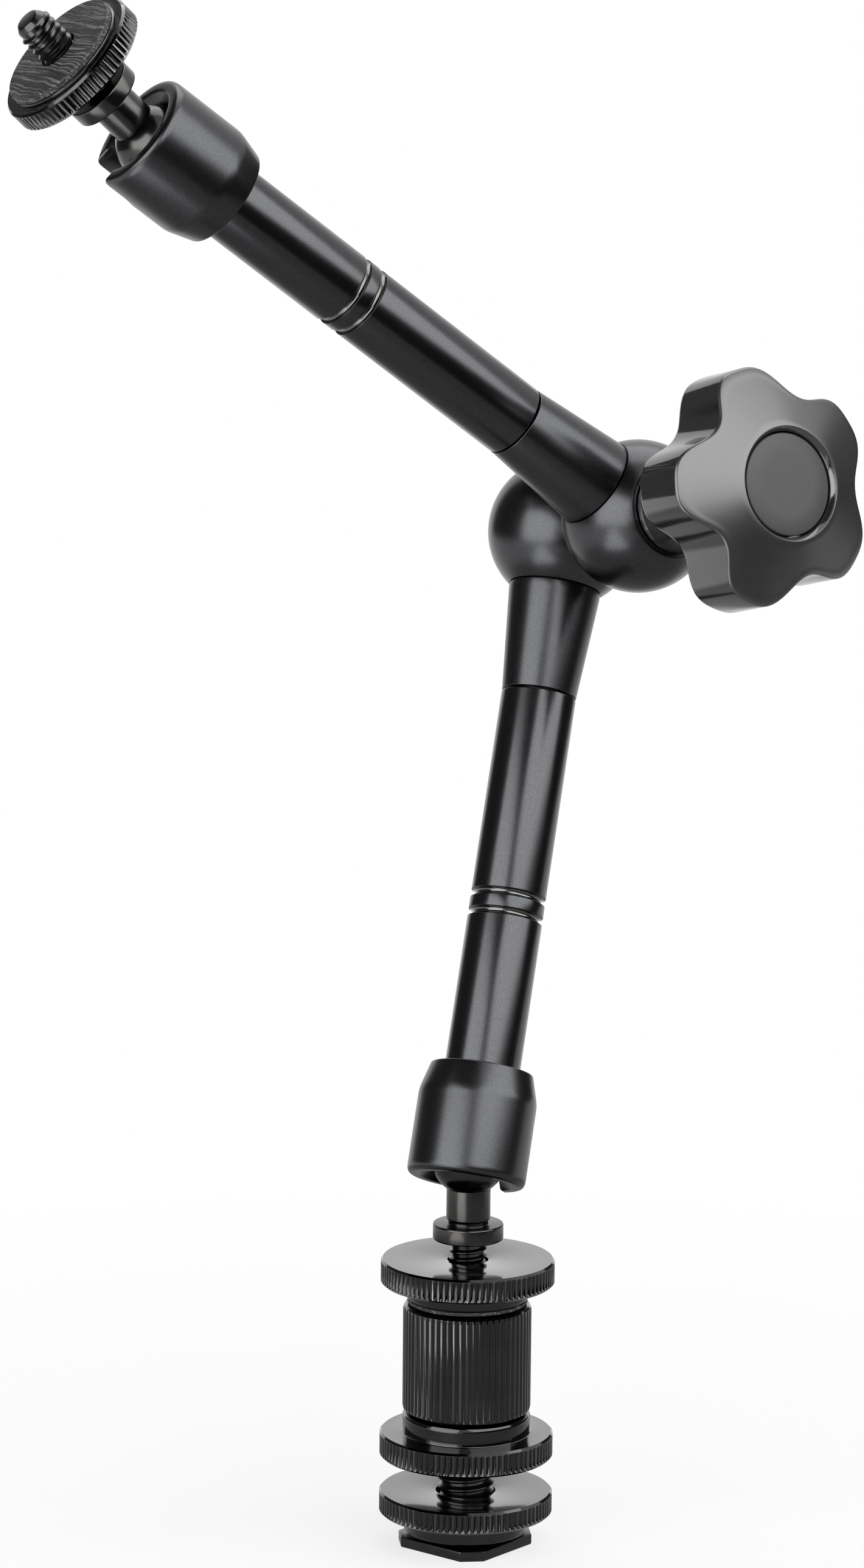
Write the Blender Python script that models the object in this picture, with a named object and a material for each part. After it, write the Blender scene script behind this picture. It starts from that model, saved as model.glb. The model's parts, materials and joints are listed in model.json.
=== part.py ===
# Articulating friction arm: a shoe foot, two tubes and a clamp elbow between two ball studs.
# Metres, +Z up. The origin is the centre of the foot's bottom face.
import math

import bmesh
import bpy
from mathutils import Matrix, Vector

MM = 0.001

# Fits between pieces
FIT = 0.3 * MM                  # gap between pieces that seat on each other
THREAD_FIT = 0.3 * MM           # gap in a threaded hole round its plain screw
SLOT_FIT = 0.42 * MM            # gap on each side of a stud's neck in the socket slot

# Pose in the photograph, in degrees
LOWER_LEAN = 24.5               # lower arm from the vertical
LOWER_HEADING = 70.2            # direction in which the lower arm leans, from +X
ELBOW_TURN = -36.8              # elbow axis round the lower arm, from level
FOLD = 107.8                    # angle between the two arms
UPPER_TILT = -6.4               # upper stud, positive towards the socket's slot
UPPER_SLOT_TURN = 50.0          # upper socket round its arm, from the side away from the knob

# Arms, measured from the centre of each elbow ball
ARM_LENGTH = 109.3 * MM         # to the centre of the ball of the stud
TUBE_RADIUS = 6.35 * MM
TUBE_BORE = 5.1 * MM
GROOVE_DEPTH = 0.7 * MM
GROOVE_WIDTH = 1.1 * MM
GROOVE_OUTER = 67.9 * MM
GROOVE_INNER = 64.6 * MM
COLLAR_LENGTH = 18.9 * MM
COLLAR_RADIUS = 7.8 * MM
COLLAR_BORE = 3.8 * MM
COLLAR_SPIGOT = 5.5 * MM        # radius of the end that screws into the elbow
COLLAR_SPIGOT_LENGTH = 2.7 * MM
TUBE_SPIGOT = 4.8 * MM          # radius of the end that the tube is pressed on
TUBE_SPIGOT_LENGTH = 10.0 * MM

# Ball studs, measured from the centre of the ball
BALL_RADIUS = 6.35 * MM
NECK_RADIUS = 3.7 * MM
STUD_COLLAR_RADIUS = 5.92 * MM
STUD_COLLAR_NEAR = 11.18 * MM
STUD_COLLAR_LENGTH = 2.73 * MM
SCREW_RADIUS = 3.15 * MM        # 1/4 inch thread
STUD_LENGTH = 30.4 * MM
SCREW_PITCH = 1.27 * MM

# Sockets, measured from the centre of the ball
SOCKET_RADIUS = 10.0 * MM
SOCKET_LIP = 4.0 * MM           # mouth beyond the ball's centre
SOCKET_LIP_ROUND = 1.1 * MM
SOCKET_LENGTH = 14.3 * MM       # cylinder, without the tapered end
SOCKET_TAPER = 4.8 * MM
SOCKET_END_RADIUS = 8.65 * MM
MOUTH_RADIUS = 7.75 * MM
THROAT_OUT = 2.27 * MM          # where the bore grips the ball, beyond its centre
TUBE_ENGAGEMENT = 4.7 * MM      # length of tube inside the socket
SEAT_HOLE = 1.5 * MM

# Elbow
ELBOW_BALL = 12.9 * MM
ELBOW_OFFSET = 21.3 * MM        # between the centres of the two halves
SKIRT_RADIUS = 11.3 * MM
FRICTION_WASHER = 0.8 * MM
RIM_WALL = 1.0 * MM             # of the lower half, round the friction washer
ELBOW_FLAT = 9.66 * MM          # flat for the collar, from the half's centre
KNOB_FLAT = 9.8 * MM            # flat for the knob's washer
CONE_CAVITY = 6.6 * MM
CAVITY_DEPTH = 5.0 * MM         # past the lower half's centre
SPRING_POCKET = 5.3 * MM
SPRING_POCKET_DEPTH = 3.2 * MM
ROD_HOLE = 3.8 * MM
CLAMP_SCREW_RADIUS = 3.0 * MM
CLAMP_PITCH = 1.25 * MM
CLAMP_SCREW_REACH = 9.0 * MM    # past the lower half's centre
BLIND_HOLE_REACH = 10.4 * MM

# Wedge cones and push rods
CONE_MIDDLE = 5.0 * MM
CONE_HALF = 4.0 * MM
CONE_SLOPE = 0.3
CONE_STEM = 4.9 * MM
SPACER_RADIUS = 4.8 * MM
ROD_RADIUS = 3.5 * MM
ROD_NOSE = 2.5 * MM
ROD_TAPER = 4.0 * MM
SPRING_THICKNESS = 0.5 * MM
SPRING_WAVE = 0.7 * MM
SPRING_WAVES = 3
SPRING_WIDTH = 1.3 * MM

# Knob, measured from the centre of the upper elbow half
THRUST_WASHER = 1.0 * MM
THRUST_WASHER_RADIUS = 7.5 * MM
KNOB_LOBES = 5
KNOB_LOBE_TURN = 31.0           # degrees
KNOB_TIP = 20.5 * MM
KNOB_VALLEY = 17.4 * MM
KNOB_SCALLOP = 31.0 * MM        # radius of the hollow between two lobes
KNOB_EASE = 1.4 * MM            # softens the corners of a lobe
KNOB_BACK = 27.2 * MM
KNOB_FRONT = 36.6 * MM
KNOB_EDGE = 0.7 * MM
KNOB_CROWN = 41.8 * MM
KNOB_CROWN_RADIUS = 9.8 * MM
KNOB_NECK = 7.9 * MM
CAP_RADIUS = 8.5 * MM
CAP_THICKNESS = 2.8 * MM
CAP_RECESS = 0.5 * MM
INSERT_RADIUS = 5.4 * MM
INSERT_LENGTH = 18.8 * MM
SCREW_HEAD_RADIUS = 5.6 * MM
SCREW_HEAD_LENGTH = 4.0 * MM

# Foot, wheels and barrel, as heights above the foot's bottom face
FOOT_WIDTH = 18.6 * MM
FOOT_CORNER = 2.9 * MM
FOOT_THICKNESS = 1.8 * MM
FOOT_TURN = 50.9                # degrees
POST_RADIUS = 4.76 * MM         # 3/8 inch thread
POST_HEIGHT = 33.4 * MM
WHEEL_RADIUS = 14.6 * MM
WHEEL_RIBS = 88
RIB_DEPTH = 0.5 * MM
WHEEL_EDGE = 0.35 * MM
HUB_RADIUS = 10.4 * MM
FOOT_WHEEL_BOTTOM = 2.55 * MM
FOOT_WHEEL_HUB = 3.14 * MM
FOOT_WHEEL_THICKNESS = 3.8 * MM
BARREL_WHEEL_BOTTOM = 15.55 * MM
BARREL_WHEEL_THICKNESS = 4.2 * MM
BARREL_HUB = 3.35 * MM
BARREL_RADIUS = 10.8 * MM
BARREL_WEB = 1.6 * MM           # between the two threaded holes
BARREL_RIBS = 60
BARREL_EDGE = 0.9 * MM
BARREL_SCREW_GAP = 1.25 * MM    # past the tip of the stud's screw

# Clamp discs on the studs
LOWER_DISC_NEAR = 17.3 * MM     # from the centre of the ball
LOWER_DISC_THICKNESS = 4.15 * MM
LOWER_DISC_HUB = 2.4 * MM
LOWER_PAD_THICKNESS = 0.6 * MM
LOWER_PAD_RADIUS = 10.1 * MM
UPPER_DISC_NEAR = 17.8 * MM     # from the centre of the ball
UPPER_DISC_THICKNESS = 3.7 * MM
UPPER_DISC_RADIUS = 12.55 * MM
UPPER_DISC_RIBS = 71
UPPER_DISC_BOSS = 0.35 * MM
UPPER_PAD_THICKNESS = 0.9 * MM
UPPER_PAD_RADIUS = 10.5 * MM

# Roundness of turned forms
FINE = 36
PLAIN = 24
COARSE = 16
CHAMFER = 0.4 * MM

# Sizes that follow
COLLAR_START = ELBOW_FLAT + FIT
COLLAR_END = COLLAR_START + COLLAR_LENGTH
TUBE_START = COLLAR_END + FIT
SOCKET_START = ARM_LENGTH + SOCKET_LIP - SOCKET_LENGTH - SOCKET_TAPER
TUBE_END = SOCKET_START + TUBE_ENGAGEMENT
SOCKET_BORE = BALL_RADIUS + FIT
SOCKET_TUBE_BORE = max(TUBE_RADIUS + THREAD_FIT, SOCKET_BORE)
SCREW_HOLE = SCREW_RADIUS + THREAD_FIT
CLAMP_HOLE = CLAMP_SCREW_RADIUS + THREAD_FIT
POST_HOLE = POST_RADIUS + THREAD_FIT
UPPER_FACE = COLLAR_RADIUS       # from the upper half's centre back to its flat face
LOWER_RIM = ELBOW_OFFSET - UPPER_FACE - FIT
RIM_POCKET = SKIRT_RADIUS - RIM_WALL
RIM_FLOOR = LOWER_RIM - FRICTION_WASHER - FIT
BARREL_BOTTOM = BARREL_WHEEL_BOTTOM + BARREL_WHEEL_THICKNESS + BARREL_HUB + FIT
SEAT_RIM_OUT = NECK_RADIUS + 2 * FIT            # seat rim behind the ball's centre
SEAT_BACK = ARM_LENGTH - TUBE_END - FIT
LOWER_DISC_FAR = LOWER_DISC_NEAR + LOWER_DISC_THICKNESS + LOWER_DISC_HUB
LOWER_PAD_FAR = LOWER_DISC_FAR + FIT + LOWER_PAD_THICKNESS
BARREL_SCREW_DEPTH = STUD_LENGTH + BARREL_SCREW_GAP - LOWER_PAD_FAR - FIT
BARREL_TOP = POST_HEIGHT + FIT + BARREL_WEB + BARREL_SCREW_DEPTH
LOWER_HUB_BOTTOM = BARREL_TOP + FIT + LOWER_PAD_THICKNESS + FIT
BALL_HEIGHT = BARREL_TOP + FIT + LOWER_PAD_FAR
WASHER_START = KNOB_FLAT + FIT
KNOB_START = WASHER_START + THRUST_WASHER + FIT
CAP_POCKET = KNOB_CROWN - CAP_RECESS - CAP_THICKNESS - FIT


# Materials
def material(name, colour, roughness, metallic):
    made = bpy.data.materials.new(name)
    made.use_nodes = True
    shader = made.node_tree.nodes["Principled BSDF"]
    shader.inputs["Base Color"].default_value = (*colour, 1.0)
    shader.inputs["Roughness"].default_value = roughness
    shader.inputs["Metallic"].default_value = metallic
    return made


ANODISED = ((0.022, 0.022, 0.024), 0.38, 0.7)
DARK_METAL = ((0.06, 0.057, 0.055), 0.25, 0.95)
STEEL = ((0.45, 0.45, 0.46), 0.3, 1.0)
BRASS = ((0.6, 0.45, 0.2), 0.35, 1.0)
BLACK_PLASTIC = ((0.018, 0.018, 0.019), 0.35, 0.0)
CAP_PLASTIC = ((0.05, 0.05, 0.052), 0.6, 0.0)
NYLON = ((0.7, 0.69, 0.66), 0.5, 0.0)
RUBBER = ((0.055, 0.055, 0.055), 0.85, 0.0)


# Rings of points about the local Z axis, each point an angle, a radius and a height
def ring(radius, height, count=PLAIN):
    return [(2 * math.pi * i / count, radius, height) for i in range(count)]


def point(height):
    return [(0.0, 0.0, height)]


# A straight knurl: each rib rises to a crest between two valleys
def ribbed_ring(radius, depth, height, ribs):
    points = []
    for i in range(ribs):
        points.append((2 * math.pi * i / ribs, radius, height))
        points.append((2 * math.pi * (i + 0.5) / ribs, radius - depth, height))
    return points


# Outline of the knob: a round blank with scallops, eased where they meet the rim
def lobe_radius(angle):
    step = 2 * math.pi / KNOB_LOBES
    turn = (angle - math.radians(KNOB_LOBE_TURN)) % step - step / 2
    middle = KNOB_VALLEY + KNOB_SCALLOP
    reach = max(0.0, KNOB_SCALLOP ** 2 - (middle * math.sin(turn)) ** 2)
    hollow = middle * math.cos(turn) - math.sqrt(reach)
    blend = max(0.0, 1.0 - abs(hollow - KNOB_TIP) / KNOB_EASE)
    return min(hollow, KNOB_TIP) - KNOB_EASE * blend ** 2 / 4


# A ring that blends from a circle to the knob's lobes
def lobed_ring(height, blend, inset, circle_radius, count):
    points = []
    for i in range(count):
        angle = 2 * math.pi * i / count
        lobe = lobe_radius(angle) - inset
        points.append((angle, circle_radius + (lobe - circle_radius) * blend, height))
    return points


# Points of an arc in the plane of radius and height
def arc(centre_radius, centre_height, size, start, end, steps):
    points = []
    for i in range(steps + 1):
        angle = math.radians(start + (end - start) * i / steps)
        points.append((centre_radius + size * math.cos(angle), centre_height + size * math.sin(angle)))
    return points


def rings_of(profile, count=PLAIN):
    return [ring(radius, height, count) if radius > 0 else point(height) for radius, height in profile]


# Faces between two rings whose points may differ in number
def bridge(mesh, first, second):
    if len(first) == 1 or len(second) == 1:
        tip, loop = (first, second) if len(first) == 1 else (second, first)
        for i in range(len(loop)):
            mesh.faces.new((tip[0][1], loop[i][1], loop[(i + 1) % len(loop)][1]))
        return
    i = j = 0
    turn = 2 * math.pi
    while i < len(first) or j < len(second):
        here = first[i % len(first)][1]
        there = second[j % len(second)][1]
        angle_i = first[(i + 1) % len(first)][0] + turn * ((i + 1) // len(first))
        angle_j = second[(j + 1) % len(second)][0] + turn * ((j + 1) // len(second))
        step_i = i < len(first) and (j >= len(second) or angle_i <= angle_j + 1e-7)
        step_j = j < len(second) and (i >= len(first) or angle_j <= angle_i + 1e-7)
        corners = [here, there]
        if step_j:
            corners.append(second[(j + 1) % len(second)][1])
            j += 1
        if step_i:
            corners.append(first[(i + 1) % len(first)][1])
            i += 1
        mesh.faces.new(corners)


# A solid skinned over rings: capped at both ends, or closed on itself for a bored piece
def skin(name, rings, finish, parent, bored=True, sharp=30):
    mesh = bmesh.new()
    loops = []
    for points in rings:
        loop = []
        for angle, radius, height in points:
            corner = (radius * math.cos(angle), radius * math.sin(angle), height)
            loop.append((angle, mesh.verts.new(corner)))
        loops.append(loop)
    for first, second in zip(loops, loops[1:]):
        bridge(mesh, first, second)
    if bored:
        bridge(mesh, loops[-1], loops[0])
    else:
        for loop in (loops[0], loops[-1]):
            if len(loop) > 1:
                mesh.faces.new([vertex for _, vertex in loop])
    bmesh.ops.recalc_face_normals(mesh, faces=mesh.faces)
    return add_object(name, mesh, finish, parent, sharp)


def add_object(name, mesh, finish, parent, sharp=30):
    data = bpy.data.meshes.new(name)
    mesh.to_mesh(data)
    mesh.free()
    made = bpy.data.objects.new(name, data)
    bpy.context.scene.collection.objects.link(made)
    if finish is not None:
        data.materials.append(material(name, *finish))
    data.shade_smooth()
    data.set_sharp_from_angle(angle=math.radians(sharp))
    made.parent = parent
    return made


# An empty whose Z axis and X axis lie along the given directions
def frame(name, origin, axis, side):
    z_axis = Vector(axis).normalized()
    y_axis = z_axis.cross(Vector(side)).normalized()
    x_axis = y_axis.cross(z_axis)
    made = bpy.data.objects.new(name, None)
    made.matrix_world = Matrix.Translation(origin) @ Matrix((x_axis, y_axis, z_axis)).transposed().to_4x4()
    made.empty_display_size = 0.01
    bpy.context.scene.collection.objects.link(made)
    return made


# Cutters
def cut(target, cutter):
    cutter.hide_render = True
    cutter.display_type = "WIRE"
    change = target.modifiers.new(cutter.name, "BOOLEAN")
    change.operation = "DIFFERENCE"
    change.solver = "EXACT"
    change.object = cutter


def cylinder_cutter(name, radius, start, end, parent, turn=None, count=PLAIN):
    rings = [ring(radius, start, count), ring(radius, end, count)]
    cutter = skin(name, rings, None, parent, bored=False)
    if turn is not None:
        cutter.matrix_local = turn
    return cutter


# Slot with a round bottom, cut from the socket's axis towards +X
def slot_cutter(name, width, depth, reach, parent):
    mesh = bmesh.new()
    outline = [(depth, width)]
    outline += [(width * math.cos(a), width * math.sin(a))
                for a in (math.pi / 2 + math.pi * i / 12 for i in range(13))]
    outline.append((depth, -width))
    near = [mesh.verts.new((0.0, y, z)) for z, y in outline]
    far = [mesh.verts.new((reach, y, z)) for z, y in outline]
    mesh.faces.new(near)
    mesh.faces.new(far)
    for i in range(len(outline)):
        k = (i + 1) % len(outline)
        mesh.faces.new((near[i], near[k], far[k], far[i]))
    bmesh.ops.recalc_face_normals(mesh, faces=mesh.faces)
    return add_object(name, mesh, None, parent)


for old in list(bpy.data.objects):
    bpy.data.objects.remove(old, do_unlink=True)

# Directions and centres in the photographed pose
lean = math.radians(LOWER_LEAN)
heading = math.radians(LOWER_HEADING)
lower_up = Vector((math.sin(lean) * math.cos(heading), math.sin(lean) * math.sin(heading), math.cos(lean)))
level = Vector((math.sin(heading), -math.cos(heading), 0.0))
elbow_axis = Matrix.Rotation(math.radians(ELBOW_TURN), 3, lower_up) @ level
lower_out = -lower_up
upper_out = Matrix.Rotation(math.radians(-FOLD), 3, elbow_axis) @ lower_out
lower_ball = Vector((0.0, 0.0, BALL_HEIGHT))
lower_elbow = lower_ball + lower_up * ARM_LENGTH
upper_elbow = lower_elbow + elbow_axis * ELBOW_OFFSET
upper_ball = upper_elbow + upper_out * ARM_LENGTH

down = Vector((0.0, 0.0, -1.0))
lower_slot = down - lower_out * down.dot(lower_out)
upper_slot = Matrix.Rotation(math.radians(UPPER_SLOT_TURN), 3, upper_out) @ -elbow_axis
upper_turn = Matrix.Rotation(math.radians(UPPER_TILT), 3, upper_out.cross(upper_slot))

stack_frame = frame("stack_axis", Vector(), (0, 0, 1), (1, 0, 0))
lower_stud_frame = frame("lower_stud_axis", lower_ball, down, lower_slot)
lower_socket_frame = frame("lower_socket_axis", lower_ball, lower_out, lower_slot)
lower_arm_frame = frame("lower_arm_axis", lower_elbow, lower_out, elbow_axis)
lower_elbow_frame = frame("lower_elbow_axis", lower_elbow, elbow_axis, lower_out)
upper_elbow_frame = frame("upper_elbow_axis", upper_elbow, elbow_axis, upper_out)
knob_frame = frame("knob_axis", upper_elbow, elbow_axis, lower_up)
upper_arm_frame = frame("upper_arm_axis", upper_elbow, upper_out, elbow_axis)
upper_socket_frame = frame("upper_socket_axis", upper_ball, upper_out, upper_slot)
upper_stud_frame = frame("upper_stud_axis", upper_ball, upper_turn @ upper_out, upper_turn @ upper_slot)


# Foot: a square plate with cut corners and a threaded post
def shoe_foot():
    half = FOOT_WIDTH / 2
    short = half - FOOT_CORNER
    corners = []
    for x, y in ((half, short), (short, half), (-short, half), (-half, short),
                 (-half, -short), (-short, -half), (short, -half), (half, -short)):
        angle = (math.atan2(y, x) + math.radians(FOOT_TURN)) % (2 * math.pi)
        corners.append((angle, math.hypot(x, y)))
    corners.sort()
    plate = [[(angle, radius, height) for angle, radius in corners] for height in (0.0, FOOT_THICKNESS)]
    post = rings_of([(POST_RADIUS, FOOT_THICKNESS), (POST_RADIUS, POST_HEIGHT - CHAMFER),
                     (POST_RADIUS - CHAMFER, POST_HEIGHT)])
    skin("shoe_foot", plate + post, DARK_METAL, stack_frame, bored=False)


# A ribbed disc with a plain hub on one side; heights rise away from the hub's free end
def ribbed_disc(name, parent, radius, ribs, hub_radius, hub_end, disc_start, disc_end, hole, hub_edge):
    way = 1 if disc_end > disc_start else -1
    edge = WHEEL_EDGE * way
    chamfer = hub_edge * way
    rings = [ring(hole, hub_end),
             ring(hub_radius - hub_edge, hub_end, FINE),
             ring(hub_radius, hub_end + chamfer, FINE),
             ring(hub_radius, disc_start, FINE),
             ring(radius - RIB_DEPTH - WHEEL_EDGE, disc_start, FINE),
             ribbed_ring(radius, RIB_DEPTH, disc_start + edge, ribs),
             ribbed_ring(radius, RIB_DEPTH, disc_end - edge, ribs),
             ring(radius - RIB_DEPTH - WHEEL_EDGE, disc_end, FINE),
             ring(hole, disc_end)]
    skin(name, rings, DARK_METAL, parent)


def wheels():
    foot_hub_top = FOOT_WHEEL_BOTTOM + FOOT_WHEEL_HUB
    ribbed_disc("foot_clamp_wheel", stack_frame, WHEEL_RADIUS, WHEEL_RIBS, HUB_RADIUS,
                FOOT_WHEEL_BOTTOM, foot_hub_top, foot_hub_top + FOOT_WHEEL_THICKNESS, POST_HOLE, CHAMFER)
    wheel_top = BARREL_WHEEL_BOTTOM + BARREL_WHEEL_THICKNESS
    ribbed_disc("barrel_lock_wheel", stack_frame, WHEEL_RADIUS, WHEEL_RIBS, BARREL_RADIUS,
                wheel_top + BARREL_HUB, wheel_top, BARREL_WHEEL_BOTTOM, POST_HOLE, BARREL_EDGE)


# Knurled barrel: a 3/8 inch socket below and a 1/4 inch socket above, with a web between
def coupling_barrel():
    screw_floor = BARREL_TOP - BARREL_SCREW_DEPTH
    post_ceiling = POST_HEIGHT + FIT
    rings = [point(post_ceiling),
             ring(POST_HOLE, post_ceiling),
             ring(POST_HOLE, BARREL_BOTTOM),
             ring(BARREL_RADIUS - BARREL_EDGE, BARREL_BOTTOM, FINE),
             ribbed_ring(BARREL_RADIUS, RIB_DEPTH, BARREL_BOTTOM + BARREL_EDGE, BARREL_RIBS),
             ribbed_ring(BARREL_RADIUS, RIB_DEPTH, BARREL_TOP - BARREL_EDGE, BARREL_RIBS),
             ring(BARREL_RADIUS - BARREL_EDGE, BARREL_TOP, FINE),
             ring(SCREW_HOLE, BARREL_TOP),
             ring(SCREW_HOLE, screw_floor),
             point(screw_floor)]
    skin("coupling_barrel", rings, DARK_METAL, stack_frame, bored=False)


def washer(name, inner, outer, start, end, finish, parent, count=PLAIN):
    skin(name, rings_of([(inner, start), (outer, start), (outer, end), (inner, end)], count), finish, parent)


# Ball stud: ball, neck, collar and 1/4 inch screw
def ball_stud(name, parent):
    top_angle = math.degrees(math.acos(NECK_RADIUS / BALL_RADIUS))
    ball = arc(0.0, 0.0, BALL_RADIUS, -90, top_angle, 10)
    ball[0] = (0.0, -BALL_RADIUS)
    collar_far = STUD_COLLAR_NEAR + STUD_COLLAR_LENGTH
    profile = ball + [
        (NECK_RADIUS, STUD_COLLAR_NEAR),
        (STUD_COLLAR_RADIUS - CHAMFER, STUD_COLLAR_NEAR),
        (STUD_COLLAR_RADIUS, STUD_COLLAR_NEAR + CHAMFER),
        (STUD_COLLAR_RADIUS, collar_far - CHAMFER),
        (STUD_COLLAR_RADIUS - CHAMFER, collar_far),
        (SCREW_RADIUS, collar_far),
        (SCREW_RADIUS, STUD_LENGTH - 2 * CHAMFER),
        (SCREW_RADIUS - 2 * CHAMFER, STUD_LENGTH)]
    skin(name, rings_of(profile), DARK_METAL, parent, bored=False)


def clamp_discs():
    lower_far = LOWER_DISC_NEAR + LOWER_DISC_THICKNESS
    ribbed_disc("lower_lock_disc", lower_stud_frame, WHEEL_RADIUS, WHEEL_RIBS, HUB_RADIUS,
                lower_far + LOWER_DISC_HUB, lower_far, LOWER_DISC_NEAR, SCREW_HOLE, CHAMFER)
    pad_start = lower_far + LOWER_DISC_HUB + FIT
    washer("lower_disc_pad", SCREW_HOLE, LOWER_PAD_RADIUS, pad_start, pad_start + LOWER_PAD_THICKNESS,
           RUBBER, lower_stud_frame)
    upper_far = UPPER_DISC_NEAR + UPPER_DISC_THICKNESS
    ribbed_disc("upper_lock_disc", upper_stud_frame, UPPER_DISC_RADIUS, UPPER_DISC_RIBS, UPPER_PAD_RADIUS,
                upper_far + UPPER_DISC_BOSS, upper_far, UPPER_DISC_NEAR, SCREW_HOLE, UPPER_DISC_BOSS / 2)
    pad_start = upper_far + UPPER_DISC_BOSS + FIT
    washer("upper_disc_pad", SCREW_HOLE, UPPER_PAD_RADIUS, pad_start, pad_start + UPPER_PAD_THICKNESS,
           RUBBER, upper_stud_frame)


# Socket: a turned cup whose throat grips the ball, with one slot for the stud's neck
def socket(name, parent):
    throat = math.sqrt(SOCKET_BORE ** 2 - THROAT_OUT ** 2)
    back = SOCKET_LIP - SOCKET_LENGTH
    lip = SOCKET_LIP - SOCKET_LIP_ROUND
    outside = [(SOCKET_END_RADIUS, back - SOCKET_TAPER), (SOCKET_RADIUS, back)]
    outside += arc(SOCKET_RADIUS - SOCKET_LIP_ROUND, lip, SOCKET_LIP_ROUND, 0, 90, 3)
    outside += [(MOUTH_RADIUS, SOCKET_LIP)]
    throat_angle = math.degrees(math.atan2(THROAT_OUT, throat))
    inside = arc(0.0, 0.0, SOCKET_BORE, throat_angle, 0, 2)
    inside += [(SOCKET_TUBE_BORE, back - SOCKET_TAPER)]
    cup = skin(name, rings_of(outside, FINE) + rings_of(inside), ANODISED, parent)
    width = NECK_RADIUS + SLOT_FIT
    cut(cup, slot_cutter(name + "_slot", width, SOCKET_LIP * 2, SOCKET_RADIUS * 2, parent))


# Seat: a short plunger with a hollow face that presses on the ball
def ball_seat(name, parent):
    hollow = BALL_RADIUS + FIT
    rim = math.sqrt(hollow ** 2 - SEAT_RIM_OUT ** 2)
    outer = SOCKET_BORE - FIT
    rim_angle = -math.degrees(math.asin(SEAT_RIM_OUT / hollow))
    hole_angle = -math.degrees(math.acos(SEAT_HOLE / hollow))
    back = -SEAT_BACK
    profile = [(SEAT_HOLE, back), (outer - CHAMFER, back), (outer, back + CHAMFER), (outer, -SEAT_RIM_OUT)]
    profile += arc(0.0, 0.0, hollow, rim_angle, hole_angle, 3)
    made = skin(name, rings_of(profile), NYLON, parent)
    made.location = (0.0, 0.0, ARM_LENGTH)
    return rim


# Push rod: its round nose rides on the wedge cone, its flat end backs the seat
def push_rod(name, parent):
    nose = CONE_MIDDLE + (ROD_NOSE + FIT) * math.sqrt(1 + CONE_SLOPE ** 2)
    end = ARM_LENGTH - SEAT_BACK - FIT
    profile = arc(0.0, nose, ROD_NOSE, -90, 0, 3)
    profile[0] = (0.0, nose - ROD_NOSE)
    profile += [(ROD_RADIUS, nose + ROD_TAPER), (ROD_RADIUS, end - CHAMFER), (ROD_RADIUS - CHAMFER, end)]
    skin(name, rings_of(profile, COARSE), STEEL, parent, bored=False)


# Tapered collar with a spigot at each end
def collar(name, parent):
    near_spigot = [(COLLAR_BORE, COLLAR_START - COLLAR_SPIGOT_LENGTH),
                   (COLLAR_SPIGOT, COLLAR_START - COLLAR_SPIGOT_LENGTH),
                   (COLLAR_SPIGOT, COLLAR_START)]
    outside = [(COLLAR_RADIUS - CHAMFER, COLLAR_START),
               (COLLAR_RADIUS, COLLAR_START + CHAMFER),
               (TUBE_RADIUS, COLLAR_END)]
    far_spigot = [(TUBE_SPIGOT, COLLAR_END),
                  (TUBE_SPIGOT, COLLAR_END + TUBE_SPIGOT_LENGTH),
                  (COLLAR_BORE, COLLAR_END + TUBE_SPIGOT_LENGTH)]
    rings = rings_of(near_spigot) + rings_of(outside, FINE) + rings_of(far_spigot)
    skin(name, rings, ANODISED, parent)


# Tube with two grooves round it
def tube(name, parent):
    profile = [(TUBE_RADIUS, TUBE_START)]
    for middle in (GROOVE_INNER, GROOVE_OUTER):
        low = middle - GROOVE_WIDTH / 2
        high = middle + GROOVE_WIDTH / 2
        bevel = GROOVE_WIDTH / 4
        profile += [(TUBE_RADIUS, low), (TUBE_RADIUS - GROOVE_DEPTH, low + bevel),
                    (TUBE_RADIUS - GROOVE_DEPTH, high - bevel), (TUBE_RADIUS, high)]
    profile += [(TUBE_RADIUS, TUBE_END)]
    bore = rings_of([(TUBE_BORE, TUBE_END), (TUBE_BORE, TUBE_START)])
    skin(name, rings_of(profile, FINE) + bore, ANODISED, parent)


# Cuts that a half needs for its arm: the flat, the collar's pocket and the rod's hole
def arm_cuts(half, parent):
    turn = Matrix.Rotation(math.pi / 2, 4, "Y")
    reach = ELBOW_BALL * 2
    cut(half, cylinder_cutter(half.name + "_flat", reach, ELBOW_FLAT, reach, parent, turn, COARSE))
    pocket = COLLAR_START - COLLAR_SPIGOT_LENGTH - FIT
    cut(half, cylinder_cutter(half.name + "_pocket", COLLAR_SPIGOT + THREAD_FIT, pocket, reach, parent, turn))
    cut(half, cylinder_cutter(half.name + "_rod_hole", ROD_HOLE, 0.0, reach, parent, turn))


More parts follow.
